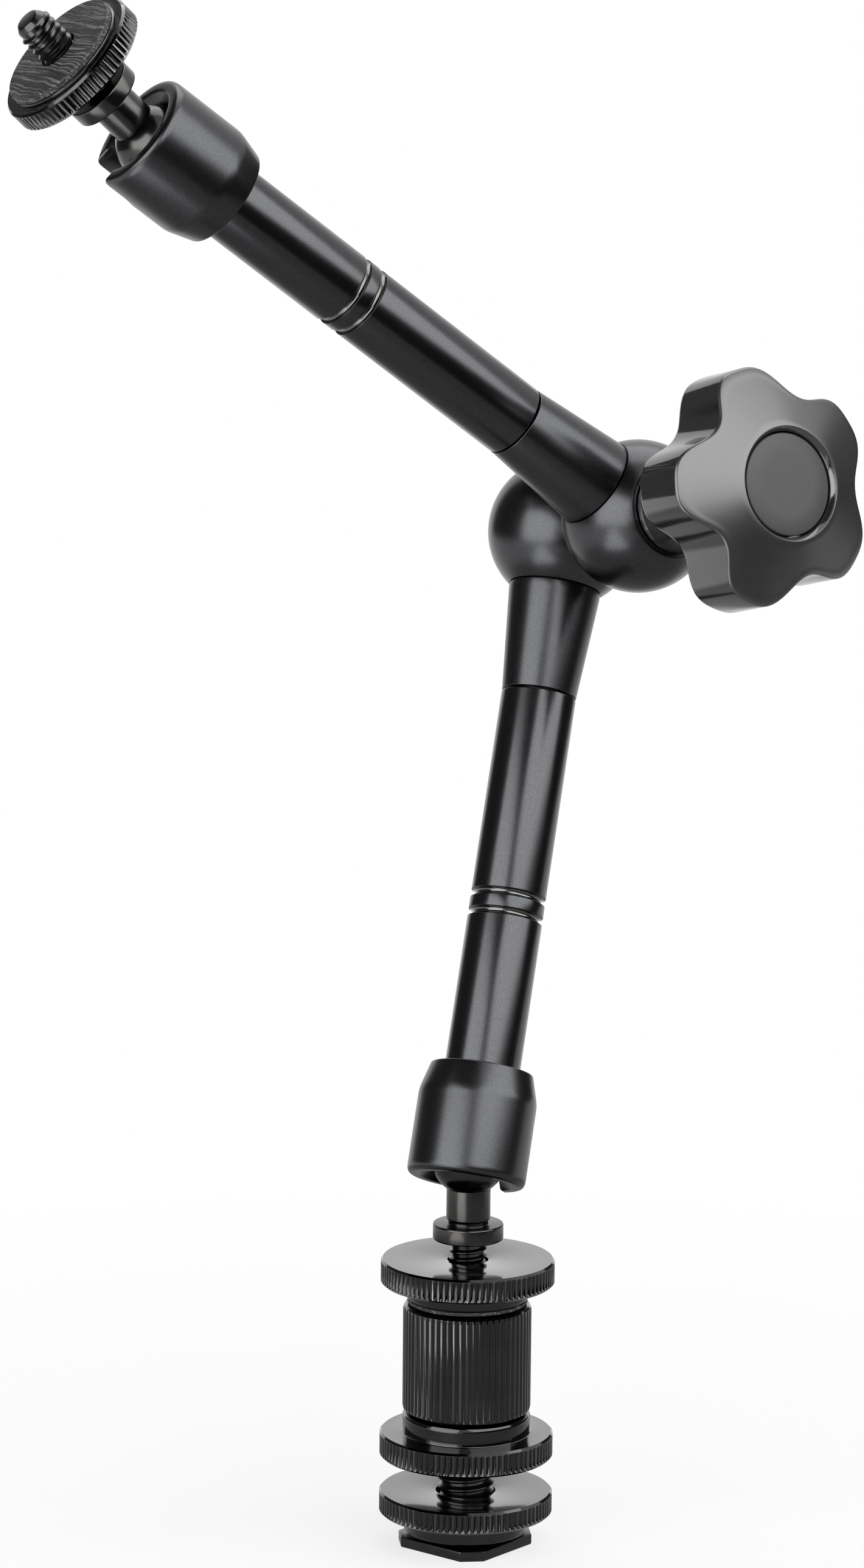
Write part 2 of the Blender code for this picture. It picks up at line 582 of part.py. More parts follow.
def elbow_halves():
    skirt_start = math.sqrt(ELBOW_BALL ** 2 - SKIRT_RADIUS ** 2)
    skirt_angle = math.degrees(math.atan2(skirt_start, SKIRT_RADIUS))
    ball = arc(0.0, 0.0, ELBOW_BALL, -90, skirt_angle, 12)
    ball[0] = (0.0, -ELBOW_BALL)
    outside = ball + [(SKIRT_RADIUS, LOWER_RIM - CHAMFER), (SKIRT_RADIUS - CHAMFER, LOWER_RIM)]
    inside = [
        (RIM_POCKET, LOWER_RIM),
        (RIM_POCKET, RIM_FLOOR),
        (CONE_CAVITY, RIM_FLOOR),
        (CONE_CAVITY, -CAVITY_DEPTH),
        (SPRING_POCKET, -CAVITY_DEPTH),
        (SPRING_POCKET, -CAVITY_DEPTH - SPRING_POCKET_DEPTH),
        (CLAMP_HOLE, -CAVITY_DEPTH - SPRING_POCKET_DEPTH),
        (CLAMP_HOLE, -BLIND_HOLE_REACH),
        (0.0, -BLIND_HOLE_REACH)]
    rings = rings_of(outside, FINE) + rings_of(inside)
    lower = skin("lower_elbow_half", rings, ANODISED, lower_elbow_frame, bored=False)
    arm_cuts(lower, lower_elbow_frame)

    flat_angle = math.degrees(math.asin(KNOB_FLAT / ELBOW_BALL))
    face_angle = math.degrees(math.asin(UPPER_FACE / ELBOW_BALL))
    outside = arc(0.0, 0.0, ELBOW_BALL, -face_angle, flat_angle, 8)
    inside = [(CONE_CAVITY, KNOB_FLAT), (CONE_CAVITY, -UPPER_FACE)]
    rings = rings_of(outside, FINE) + rings_of(inside)
    upper = skin("upper_elbow_half", rings, ANODISED, upper_elbow_frame)
    arm_cuts(upper, upper_elbow_frame)


# Wedge cones, spacer, washers and return spring on the clamp screw
def elbow_inside():
    small = CONE_MIDDLE - CONE_HALF * CONE_SLOPE
    large = CONE_MIDDLE + CONE_HALF * CONE_SLOPE
    lower_cone = [(CLAMP_HOLE, -CONE_HALF), (small, -CONE_HALF), (large, CONE_HALF), (CLAMP_HOLE, CONE_HALF)]
    skin("lower_wedge_cone", rings_of(lower_cone), STEEL, lower_elbow_frame)
    spacer_start = CONE_HALF + FIT
    spacer_end = ELBOW_OFFSET - CONE_HALF - FIT
    washer("cone_spacer", CLAMP_HOLE, SPACER_RADIUS, spacer_start, spacer_end, STEEL, lower_elbow_frame)
    stem_end = WASHER_START - FIT
    upper_cone = lower_cone[:3] + [(CONE_STEM, CONE_HALF), (CONE_STEM, stem_end), (CLAMP_HOLE, stem_end)]
    skin("upper_wedge_cone", rings_of(upper_cone), STEEL, knob_frame)
    washer("thrust_washer", CLAMP_HOLE, THRUST_WASHER_RADIUS, WASHER_START, WASHER_START + THRUST_WASHER,
           STEEL, knob_frame)
    washer("elbow_friction_washer", CONE_CAVITY, RIM_POCKET - FIT, RIM_FLOOR + FIT,
           RIM_FLOOR + FIT + FRICTION_WASHER, NYLON, lower_elbow_frame)

    floor = -CAVITY_DEPTH - SPRING_POCKET_DEPTH + FIT
    inner = CLAMP_HOLE + FIT
    rings = []
    for radius, height in ((inner, 0.0), (inner + SPRING_WIDTH, 0.0),
                           (inner + SPRING_WIDTH, SPRING_THICKNESS), (inner, SPRING_THICKNESS)):
        middle = floor + SPRING_WAVE + height
        rings.append([(angle, radius, middle + SPRING_WAVE * math.cos(SPRING_WAVES * angle))
                      for angle, _, _ in ring(radius, 0.0)])
    skin("elbow_wave_spring", rings, STEEL, lower_elbow_frame)


# Knob with its brass insert, screw and cap
def knob():
    count = 14 * KNOB_LOBES
    pocket_floor = KNOB_START + INSERT_LENGTH + FIT
    rings = [ring(INSERT_RADIUS + FIT, KNOB_START),
             ring(KNOB_NECK - CHAMFER, KNOB_START, FINE),
             ring(KNOB_NECK, KNOB_START + CHAMFER, FINE),
             ring(KNOB_NECK, KNOB_BACK, FINE),
             lobed_ring(KNOB_BACK, 1.0, KNOB_EDGE, KNOB_NECK, count)]
    for step in (30, 60, 90):
        lift = KNOB_EDGE * (1 - math.cos(math.radians(step)))
        inset = KNOB_EDGE * (1 - math.sin(math.radians(step)))
        rings.append(lobed_ring(KNOB_BACK + lift, 1.0, inset, KNOB_NECK, count))
    for step in (0, 30, 60, 90):
        drop = KNOB_EDGE * (1 - math.sin(math.radians(step)))
        inset = KNOB_EDGE * (1 - math.cos(math.radians(step)))
        rings.append(lobed_ring(KNOB_FRONT - drop, 1.0, inset, KNOB_NECK, count))
    rise = KNOB_CROWN - KNOB_FRONT
    for share in (0.3, 0.65):
        height = KNOB_FRONT + rise * share
        rings.append(lobed_ring(height, 1.0 - share, KNOB_EDGE, KNOB_CROWN_RADIUS, count))
    rings += [ring(KNOB_CROWN_RADIUS, KNOB_CROWN, FINE),
              ring(CAP_RADIUS + FIT, KNOB_CROWN, FINE),
              ring(CAP_RADIUS + FIT, CAP_POCKET, FINE),
              ring(SCREW_HEAD_RADIUS + 2 * FIT, CAP_POCKET),
              ring(SCREW_HEAD_RADIUS + 2 * FIT, pocket_floor),
              ring(INSERT_RADIUS + FIT, pocket_floor)]
    skin("knob", rings, BLACK_PLASTIC, knob_frame)

    washer("knob_insert", CLAMP_HOLE, INSERT_RADIUS, KNOB_START, KNOB_START + INSERT_LENGTH, BRASS, knob_frame)
    cap_start = CAP_POCKET + FIT
    cap = rings_of([(0.0, cap_start), (CAP_RADIUS, cap_start),
                    (CAP_RADIUS, cap_start + CAP_THICKNESS - CHAMFER),
                    (CAP_RADIUS - CHAMFER, cap_start + CAP_THICKNESS),
                    (0.0, cap_start + CAP_THICKNESS)], FINE)
    skin("knob_cap", cap, CAP_PLASTIC, knob_frame, bored=False)
    head_start = pocket_floor
    tip = -ELBOW_OFFSET - CLAMP_SCREW_REACH
    screw = [ring(CLAMP_SCREW_RADIUS - CHAMFER, tip, COARSE),
             ring(CLAMP_SCREW_RADIUS, tip + CHAMFER, COARSE),
             ring(CLAMP_SCREW_RADIUS, head_start, COARSE),
             ring(SCREW_HEAD_RADIUS, head_start, 6),
             ring(SCREW_HEAD_RADIUS, head_start + SCREW_HEAD_LENGTH, 6)]
    skin("clamp_screw", screw, STEEL, knob_frame, bored=False)


def arm(side, arm_frame, socket_frame):
    tube(side + "_tube", arm_frame)
    collar(side + "_collar", arm_frame)
    push_rod(side + "_push_rod", arm_frame)
    ball_seat(side + "_ball_seat", arm_frame)
    socket(side + "_socket", socket_frame)


shoe_foot()
wheels()
coupling_barrel()
ball_stud("lower_ball_stud", lower_stud_frame)
ball_stud("upper_ball_stud", upper_stud_frame)
clamp_discs()
arm("lower", lower_arm_frame, lower_socket_frame)
arm("upper", upper_arm_frame, upper_socket_frame)
elbow_halves()
elbow_inside()
knob()
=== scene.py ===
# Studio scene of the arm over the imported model
import json
import math

import bpy
from mathutils import Matrix, Vector

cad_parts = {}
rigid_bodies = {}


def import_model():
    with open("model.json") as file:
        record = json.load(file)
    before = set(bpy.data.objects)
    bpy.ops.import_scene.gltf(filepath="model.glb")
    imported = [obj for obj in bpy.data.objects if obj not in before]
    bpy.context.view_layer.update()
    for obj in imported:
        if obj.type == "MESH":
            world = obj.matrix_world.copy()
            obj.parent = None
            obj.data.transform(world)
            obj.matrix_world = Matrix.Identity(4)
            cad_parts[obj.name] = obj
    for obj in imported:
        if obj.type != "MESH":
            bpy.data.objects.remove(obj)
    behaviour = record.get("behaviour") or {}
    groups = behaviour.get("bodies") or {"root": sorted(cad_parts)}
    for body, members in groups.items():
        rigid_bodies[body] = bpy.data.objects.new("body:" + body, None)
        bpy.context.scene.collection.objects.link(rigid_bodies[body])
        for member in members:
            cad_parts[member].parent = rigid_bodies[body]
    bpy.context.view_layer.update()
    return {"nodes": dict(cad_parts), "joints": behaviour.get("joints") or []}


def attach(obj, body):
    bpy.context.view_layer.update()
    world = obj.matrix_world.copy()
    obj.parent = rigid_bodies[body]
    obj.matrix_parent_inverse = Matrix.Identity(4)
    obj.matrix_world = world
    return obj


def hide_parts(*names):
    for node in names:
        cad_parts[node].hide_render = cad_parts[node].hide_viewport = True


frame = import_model()
print("frame loaded")

mm = 0.001
fullTurn = 2 * math.pi
mergeWithin = 0.002  # millimetres
tiny = 0.01


# picking and placing
def deselectAll():
    active = bpy.context.view_layer.objects.active
    if active and active.mode != "OBJECT":
        bpy.ops.object.mode_set(mode="OBJECT")
    for other in bpy.context.view_layer.objects:
        other.select_set(False)
    bpy.context.view_layer.objects.active = None


def only(piece):
    deselectAll()
    piece.select_set(True)
    bpy.context.view_layer.objects.active = piece


# leaves the piece in edit mode, with the vertices selected that pass the test
def pickVerts(piece, test):
    bpy.ops.object.mode_set(mode="EDIT")
    bpy.ops.mesh.select_mode(type="VERT")
    bpy.ops.mesh.select_all(action="DESELECT")
    bpy.ops.object.mode_set(mode="OBJECT")
    for vert in piece.data.vertices:
        vert.select = test(vert.co)
    bpy.ops.object.mode_set(mode="EDIT")


# turns all faces outwards and leaves edit mode
def closeEdit():
    bpy.ops.mesh.select_all(action="SELECT")
    bpy.ops.mesh.normals_make_consistent(inside=False)
    bpy.ops.object.mode_set(mode="OBJECT")


def applyAll(piece):
    only(piece)
    for change in list(piece.modifiers):
        bpy.ops.object.modifier_apply(modifier=change.name)


def turnPiece(piece, turn):
    piece.matrix_world = turn
    only(piece)
    bpy.ops.object.transform_apply(location=True, rotation=True, scale=True)


# edges sharper than sharp degrees get a small round bevel
def easeEdges(piece, sharp, width):
    change = piece.modifiers.new("ease", "BEVEL")
    change.limit_method = "ANGLE"
    change.angle_limit = math.radians(sharp)
    change.width = width
    change.segments = 3
    applyAll(piece)


# outlines are in millimetres, as radius and height
def bow(centreRadius, centreHeight, size, start, end, steps):
    points = []
    for i in range(steps + 1):
        angle = math.radians(start + (end - start) * i / steps)
        points.append((centreRadius + size * math.cos(angle),
                       centreHeight + size * math.sin(angle)))
    return points


# each corner is (radius, height) or (radius, height, ease), and ease rounds it
def eased(corners, steps=4):
    points = []
    for i, corner in enumerate(corners):
        here = Vector(corner[:2])
        ease = corner[2] if len(corner) > 2 else 0
        if not ease or i in (0, len(corners) - 1):
            points.append(tuple(here))
            continue
        before = Vector(corners[i - 1][:2]) - here
        after = Vector(corners[i + 1][:2]) - here
        first = here + before.normalized() * min(ease, before.length * 0.48)
        last = here + after.normalized() * min(ease, after.length * 0.48)
        for k in range(steps + 1):
            s = k / steps
            points.append(tuple(first * (1 - s) ** 2 + here * 2 * s * (1 - s) + last * s * s))
    return points


# one point drawn out along a line of (x, y, z) points, which stays in edit mode
def drawnLine(name, points):
    deselectAll()
    bpy.ops.mesh.primitive_circle_add(vertices=3, radius=1, location=(0, 0, 0))
    piece = bpy.context.object
    piece.name = name
    bpy.ops.object.mode_set(mode="EDIT")
    bpy.ops.mesh.select_all(action="SELECT")
    bpy.ops.mesh.merge(type="CENTER")
    bpy.ops.transform.translate(value=points[0])
    for last, here in zip(points, points[1:]):
        move = tuple(b - a for a, b in zip(last, here))
        bpy.ops.mesh.extrude_region_move(TRANSFORM_OT_translate={"value": move})
    return piece


# an outline spun about Z: a ring's two ends are joined to each other, and other ends are capped
def turned(name, outline, sides=128, ring=False):
    points = [(radius, 0, height) for radius, height in outline]
    piece = drawnLine(name, points)
    if ring:
        ends = (Vector(points[0]), Vector(points[-1]))
        pickVerts(piece, lambda co: min((co - end).length for end in ends) < 1e-4)
        bpy.ops.mesh.edge_face_add()
    bpy.ops.mesh.select_all(action="SELECT")
    bpy.ops.mesh.spin(steps=sides, angle=fullTurn, center=(0, 0, 0), axis=(0, 0, 1))
    bpy.ops.mesh.select_all(action="SELECT")
    bpy.ops.mesh.remove_doubles(threshold=mergeWithin)
    bpy.ops.mesh.normals_make_consistent(inside=False)
    for radius, height in () if ring else (outline[0], outline[-1]):
        if radius > tiny:
            capRing(piece, radius, height)
    closeEdit()
    return piece


def capRing(piece, radius, height):
    pickVerts(piece, lambda co: abs(co.z - height) < 1e-3 and abs(co.xy.length - radius) < 1e-3)
    bpy.ops.mesh.edge_face_add()


# which of count columns round Z a point stands on
def columnOf(co, count):
    return round((math.atan2(co.y, co.x) % fullTurn) / fullTurn * count)


# every rib of a straight knurl takes as many columns as depths, which says how deep each one lies
def knurl(piece, ribs, depths, rim, low, high):
    steps = len(depths)
    for k, depth in enumerate(depths):
        if not depth:
            continue

        def valley(co):
            if co.xy.length < rim - 0.02 or not low < co.z < high:
                return False
            return columnOf(co, ribs * steps) % steps == k

        pickVerts(piece, valley)
        share = 1 - depth / rim
        bpy.ops.transform.resize(value=(share, share, 1), center_override=(0, 0, 0))
    bpy.ops.object.mode_set(mode="OBJECT")


# flat outline of (x, y) points drawn out along Z
def slab(name, points, low, high):
    piece = drawnLine(name, [(x, y, low) for x, y in points])
    bpy.ops.mesh.select_all(action="SELECT")
    bpy.ops.mesh.edge_face_add()
    bpy.ops.mesh.extrude_region_move(TRANSFORM_OT_translate={"value": (0, 0, high - low)})
    closeEdit()
    return piece


def cutBy(piece, cutter):
    change = piece.modifiers.new("cut", "BOOLEAN")
    change.operation = "DIFFERENCE"
    change.solver = "EXACT"
    change.object = cutter
    applyAll(piece)
    bpy.data.objects.remove(cutter, do_unlink=True)


def joinTo(piece, *others):
    only(piece)
    for other in others:
        other.select_set(True)
    bpy.ops.object.join()


# from millimetres at its own seat to metres on the object, shaded, dressed and put on its body, and
# the frame's node that it replaces is hidden
def finishPiece(piece, place, body, node, finish, sharp=28):
    turnPiece(piece, place @ Matrix.Scale(mm, 4))
    bpy.ops.object.shade_smooth_by_angle(angle=math.radians(sharp))
    piece.data.materials.clear()
    piece.data.materials.append(finish)
    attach(piece, body)
    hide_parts(node)
    piece.select_set(False)


# seats of the turned pieces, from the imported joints
joints = {joint["name"]: joint for joint in frame["joints"]}


def axisOf(name):
    return Vector(joints[name]["axis"]).normalized()


def pointOf(name):
    return Vector(joints[name]["pos_m"])


def seat(origin, axis, side):
    zAxis = axis.normalized()
    yAxis = zAxis.cross(side).normalized()
    xAxis = yAxis.cross(zAxis)
    return Matrix.Translation(origin) @ Matrix((xAxis, yAxis, zAxis)).transposed().to_4x4()


elbowGap = 0.0213  # between the middles of the two elbow balls, in metres
elbowAxis = axisOf("elbow_fold")
lowerOut = axisOf("lower_socket_turn")
upperOut = axisOf("upper_socket_turn")
upperStudOut = axisOf("upper_disc_turn")
lowerBall = pointOf("lower_tilt")
upperBall = pointOf("upper_tilt")
upperElbow = pointOf("elbow_fold")
lowerElbow = upperElbow - elbowAxis * elbowGap
lowerSlot = axisOf("lower_tilt").cross(lowerOut)
upperSlot = axisOf("upper_tilt").cross(upperOut)
down = Vector((0, 0, -1))

stackSeat = Matrix.Identity(4)
lowerStudSeat = seat(lowerBall, down, lowerSlot)
upperStudSeat = seat(upperBall, upperStudOut, upperSlot)
lowerCupSeat = seat(lowerBall, lowerOut, lowerSlot)
upperCupSeat = seat(upperBall, upperOut, upperSlot)
lowerArmSeat = seat(lowerElbow, lowerOut, elbowAxis)
upperArmSeat = seat(upperElbow, upperOut, elbowAxis)
lowerElbowSeat = seat(lowerElbow, elbowAxis, lowerOut)
upperElbowSeat = seat(upperElbow, elbowAxis, upperOut)
knobSeat = seat(upperElbow, elbowAxis, -lowerOut)


# shader maths
class Socket:
    def __init__(self, tree, link):
        self.tree = tree
        self.link = link

    def maths(self, operation, first, second):
        node = self.tree.node("ShaderNodeMath", {"operation": operation}, {0: first, 1: second})
        return node["Value"]

    def __add__(self, other):
        return self.maths("ADD", self, other)

    __radd__ = __add__

    def __sub__(self, other):
        return self.maths("SUBTRACT", self, other)

    def __rsub__(self, other):
        return self.maths("SUBTRACT", other, self)

    def __mul__(self, other):
        return self.maths("MULTIPLY", self, other)

    __rmul__ = __mul__


class Outputs:
    def __init__(self, tree, made):
        self.tree = tree
        self.made = made

    def __getitem__(self, key):
        return Socket(self.tree, self.made.outputs[key])


class Tree:
    def __init__(self, material):
        material.use_nodes = True
        self.nodes = material.node_tree.nodes
        self.links = material.node_tree.links
        self.nodes.clear()

    def node(self, kind, settings=None, values=None):
        made = self.nodes.new(kind)
        for key, value in (settings or {}).items():
            setattr(made, key, value)
        for key, value in (values or {}).items():
            target = made.inputs[key]
            if isinstance(value, Socket):
                self.links.new(value.link, target)
            elif target.type == "RGBA":
                target.default_value = (*value, 1)
            else:
                target.default_value = value
        return Outputs(self, made)

    def noise(self, where, scale, detail=2.0, roughness=0.5):
        values = {"Vector": where, "Scale": scale, "Detail": detail, "Roughness": roughness}
        return self.node("ShaderNodeTexNoise", None, values)["Fac"]

    def between(self, share, low, high):
        made = self.node("ShaderNodeMapRange", {"clamp": True},
                         {"Value": share, "From Min": low, "From Max": high})
        return made["Result"]

    def blend(self, share, first, second):
        return self.node("ShaderNodeMix", {"data_type": "RGBA"}, {0: share, 6: first, 7: second})[2]

    def mapped(self, kind, values):
        return self.node("ShaderNodeMapping", {"vector_type": kind}, values)["Vector"]

    def combined(self, x=0.0, y=0.0, z=0.0):
        return self.node("ShaderNodeCombineXYZ", None, {"X": x, "Y": y, "Z": z})["Vector"]

    def length(self, vector):
        return self.node("ShaderNodeVectorMath", {"operation": "LENGTH"}, {0: vector})["Value"]

    # height along the piece's axis, distance from it, and the place as seen along it
    def fromAxis(self, where):
        parts = self.node("ShaderNodeSeparateXYZ", None, {"Vector": where})
        flat = self.combined(parts["X"], parts["Y"])
        return parts["Z"], self.length(flat), flat

    def bump(self, strength, distance, height):
        values = {"Strength": strength, "Distance": distance, "Height": height}
        return self.node("ShaderNodeBump", None, values)["Normal"]


# place is the seat of the piece, so that marks run round its own axis
def newFinish(name, place=None):
    finish = bpy.data.materials.new(name)
    tree = Tree(finish)
    where = tree.node("ShaderNodeTexCoord")["Object"]
    if place is not None:
        where = tree.mapped("TEXTURE", {"Vector": where, "Location": tuple(place.translation),
                                        "Rotation": tuple(place.to_euler())})
    return finish, tree, where


def closeFinish(tree, colour, roughness, metallic, normal, more=None):
    values = {"Base Color": colour, "Roughness": roughness, "Metallic": metallic, "Normal": normal}
    shader = tree.node("ShaderNodeBsdfPrincipled", None, {**values, **(more or {})})
    tree.node("ShaderNodeOutputMaterial", None, {"Surface": shader["BSDF"]})


# in the dictionaries of finishes, grain, cloud, rings and the patches of the wheels' painted crest
# highlight are scales of noise, uneven is how far the roughness wanders with the cloud and with the
# finer noise, and bumpHeight is in metres
anodised = {
    "dark": (0.052, 0.053, 0.056),
    "light": (0.078, 0.079, 0.082),
    "bright": (0.13, 0.128, 0.125),
    "roughness": 0.28,
    "tubeRoughness": 0.22,
    "elbowRoughness": 0.26,
    "brightRoughness": 0.14,
    "grain": 5200.0,
    "cloud": 160.0,
    "speck": (0.35, 0.68),
    "uneven": (0.06, 0.06),
    "bump": 0.05,
    "bumpHeight": 0.00004,
}


# below the radius cut, in mm, the metal is bright from turning, as in the grooves of the tubes
def anodisedFinish(name, place, roughness=anodised["roughness"], cut=None):
    finish, tree, where = newFinish(name, place)
    grain = tree.noise(where, anodised["grain"], 3.0, 0.6)
    cloud = tree.noise(where, anodised["cloud"], 3.0, 0.5)
    speck = tree.between(grain, *anodised["speck"])
    colour = tree.blend(speck, anodised["dark"], anodised["light"])
    slow, fast = anodised["uneven"]
    rough = roughness + (cloud - 0.5) * slow + (grain - 0.5) * fast
    if cut:
        reach = tree.fromAxis(where)[1]
        bare = 1.0 - tree.between(reach, (cut - 0.05) * mm, (cut + 0.05) * mm)
        colour = tree.blend(bare, colour, anodised["bright"])
        rough = rough * (1.0 - bare) + bare * anodised["brightRoughness"]
    bump = tree.bump(anodised["bump"], anodised["bumpHeight"], grain)
    closeFinish(tree, colour, rough, 1.0, bump)
    return finish


studMetal = {
    "dark": (0.046, 0.045, 0.044),
    "light": (0.08, 0.078, 0.076),
    "roughness": 0.2,
    "footRoughness": 0.22,
    "rings": 9000.0,
    "cloud": 220.0,
    "uneven": (0.08, 0.05),
    "bump": 0.05,
    "bumpHeight": 0.00002,
}


def studFinish(name, place, roughness=studMetal["roughness"]):
    finish, tree, where = newFinish(name, place)
    height = tree.node("ShaderNodeSeparateXYZ", None, {"Vector": where})["Z"]
    rings = tree.noise(tree.combined(z=height), studMetal["rings"], 2.0, 0.6)
    cloud = tree.noise(where, studMetal["cloud"], 3.0, 0.55)
    share = tree.between(rings * 0.5 + cloud * 0.5, 0.35, 0.65)
    colour = tree.blend(share, studMetal["dark"], studMetal["light"])
    slow, fast = studMetal["uneven"]
    rough = roughness + (cloud - 0.5) * slow + (rings - 0.5) * fast
    bump = tree.bump(studMetal["bump"], studMetal["bumpHeight"], rings)
    closeFinish(tree, colour, rough, 1.0, bump)
    return finish


wheelMetal = {
    "dark": (0.013, 0.0135, 0.015),
    "light": (0.034, 0.033, 0.032),
    "crest": (0.16, 0.152, 0.142),
    "roughness": 0.13,
    "rings": 7000.0,
    "cloud": 260.0,
    "wear": 760.0,
    "uneven": (0.08, 0.06),
    "coat": 0.8,
    "coatRoughness": 0.06,
    "bump": 0.06,
    "bumpHeight": 0.00002,
}


# the crests of the ribs, at the rim's full radius, get a painted highlight in patches: a brighter
# metal colour that stands in for the light they catch
def wheelFinish(name, place, rim):
    finish, tree, where = newFinish(name, place)
    height, reach, flat = tree.fromAxis(where)
    rings = tree.noise(tree.combined(reach, height * 0.2), wheelMetal["rings"], 2.0, 0.6)
    cloud = tree.noise(where, wheelMetal["cloud"], 3.0, 0.6)
    share = tree.between(cloud * 0.4 + rings * 0.6, 0.34, 0.66)
    colour = tree.blend(share, wheelMetal["dark"], wheelMetal["light"])
    # painted highlight on the rib crests, broken into patches by noise
    crest = tree.between(reach, (rim - 0.035) * mm, (rim - 0.005) * mm)
    crestGlint = crest * tree.between(tree.noise(flat, wheelMetal["wear"]), 0.46, 0.62)
    colour = tree.blend(crestGlint, colour, wheelMetal["crest"])
    slow, fast = wheelMetal["uneven"]
    rough = wheelMetal["roughness"] + (cloud - 0.5) * slow + (rings - 0.5) * fast
    bump = tree.bump(wheelMetal["bump"], wheelMetal["bumpHeight"], rings)
    closeFinish(tree, colour, rough, 1.0, bump,
                {"Coat Weight": wheelMetal["coat"], "Coat Roughness": wheelMetal["coatRoughness"]})
    return finish


plastics = {
    "whiteNylon": {"colour": (0.6, 0.59, 0.55), "roughness": 0.5, "grain": 2600.0, "bump": 0.1},
    "frictionWasher": {"colour": (0.02, 0.02, 0.021), "roughness": 0.45, "grain": 2600.0,
                       "bump": 0.08},
    "capPlastic": {"colour": (0.04, 0.04, 0.042), "roughness": 0.5, "grain": 4600.0, "bump": 0.12},
}


def plasticFinish(name):
    settings = plastics[name]
    finish, tree, where = newFinish(name)
    grain = tree.noise(where, settings["grain"], 3.0, 0.6)
    cloud = tree.noise(where, 120.0)
    lighter = tuple(c * 1.35 for c in settings["colour"])
    share = tree.between(grain * 0.6 + cloud * 0.4, 0.35, 0.65)
    rough = settings["roughness"] + (cloud - 0.5) * 0.06 + (grain - 0.5) * 0.06
    bump = tree.bump(settings["bump"], 0.00004, grain)
    closeFinish(tree, tree.blend(share, settings["colour"], lighter), rough, 0.0, bump)
    return finish


rubber = {
    "dark": (0.012, 0.012, 0.013),
    "light": (0.17, 0.17, 0.168),
    "roughness": 0.62,
    "streak": 2700.0,
    "length": 0.022,
    "wander": 0.0016,
    "fine": 3200.0,
    "crack": 430.0,
    "bump": 0.6,
    "bumpHeight": 0.00012,
}


# worn rubber: long fine streaks that lie level across the pad, with a few cracks over them
def rubberFinish(name, place):
    finish, tree, where = newFinish(name, place)
    upright = Vector((0, 0, 1))
    line = (place.to_3x3() @ upright).cross(upright)
    across = place.to_3x3().inverted() @ (line if line.length > 0.1 else Vector((1, 0, 0)))
    turn = math.atan2(across.y, across.x)
    level = tree.mapped("POINT", {"Vector": where, "Rotation": (0.0, 0.0, -turn)})
    wander = tree.combined(y=tree.noise(level, 170.0) * rubber["wander"])
    bent = tree.node("ShaderNodeVectorMath", {"operation": "ADD"}, {0: level, 1: wander})["Vector"]
    long = tree.mapped("POINT", {"Vector": bent, "Scale": (rubber["length"], 1.0, 1.0)})
    streak = tree.noise(long, rubber["streak"], 4.0, 0.65)
    fine = tree.noise(where, rubber["fine"], 3.0, 0.6)
    block = tree.mapped("POINT", {"Vector": bent, "Scale": (0.45, 1.0, 1.0)})
    cells = tree.node("ShaderNodeTexVoronoi", {"feature": "DISTANCE_TO_EDGE"},
                      {"Vector": block, "Scale": rubber["crack"]})
    crack = tree.between(cells["Distance"], 0.0, 0.05)
    mark = tree.between(streak, 0.49, 0.64) * (crack * 0.7 + 0.3)
    colour = tree.blend(mark, rubber["dark"], rubber["light"])
    height = streak * 0.7 + fine * 0.1 + crack * 0.2
    bump = tree.bump(rubber["bump"], rubber["bumpHeight"], height)
    closeFinish(tree, colour, rubber["roughness"] + (fine - 0.5) * 0.2, 0.0, bump)
    return finish


bareMetals = {
    "bareSteel": {"dark": (0.38, 0.38, 0.39), "light": (0.55, 0.55, 0.56), "roughness": 0.3},
    "plainBrass": {"dark": (0.5, 0.37, 0.16), "light": (0.68, 0.52, 0.25), "roughness": 0.32},
}


def bareMetalFinish(name):
    settings = bareMetals[name]
    finish, tree, where = newFinish(name)
    cloud = tree.noise(where, 400.0, 4.0, 0.6)
    fine = tree.noise(where, 4200.0)
    colour = tree.blend(tree.between(cloud, 0.35, 0.65), settings["dark"], settings["light"])
    bump = tree.bump(0.06, 0.00003, fine)
    closeFinish(tree, colour, settings["roughness"] + (cloud - 0.5) * 0.14, 1.0, bump)
    return finish


# pieces inside the arm keep their CAD meshes
steelFinish = bareMetalFinish("bareSteel")
brassFinish = bareMetalFinish("plainBrass")
nylonFinish = plasticFinish("whiteNylon")
inner = {
    "lower_push_rod": steelFinish,
    "upper_push_rod": steelFinish,
    "lower_ball_seat": nylonFinish,
    "upper_ball_seat": nylonFinish,
    "elbow_wave_spring": steelFinish,
    "lower_wedge_cone": steelFinish,
    "upper_wedge_cone": steelFinish,
    "cone_spacer": steelFinish,
    "thrust_washer": steelFinish,
    "clamp_screw": steelFinish,
    "knob_insert": brassFinish,
}
for nodeName, finish in inner.items():
    for slotOf in frame["nodes"][nodeName].material_slots:
        slotOf.material = finish
print("finishes made")

# arms; from here on, sizes are in millimetres
tubeSize = {
    "radius": 6.35,
    "bore": 5.1,
    "start": 29.16,
    "end": 98.9,
    "startEase": 0.25,
    "endEase": 0.3,
    "grooves": (64.6, 67.9),
    "grooveWidth": 1.3,
    "grooveDepth": 0.72,
    "grooveEase": 0.06,
    "cut": 6.2,
    "sides": 128,
}


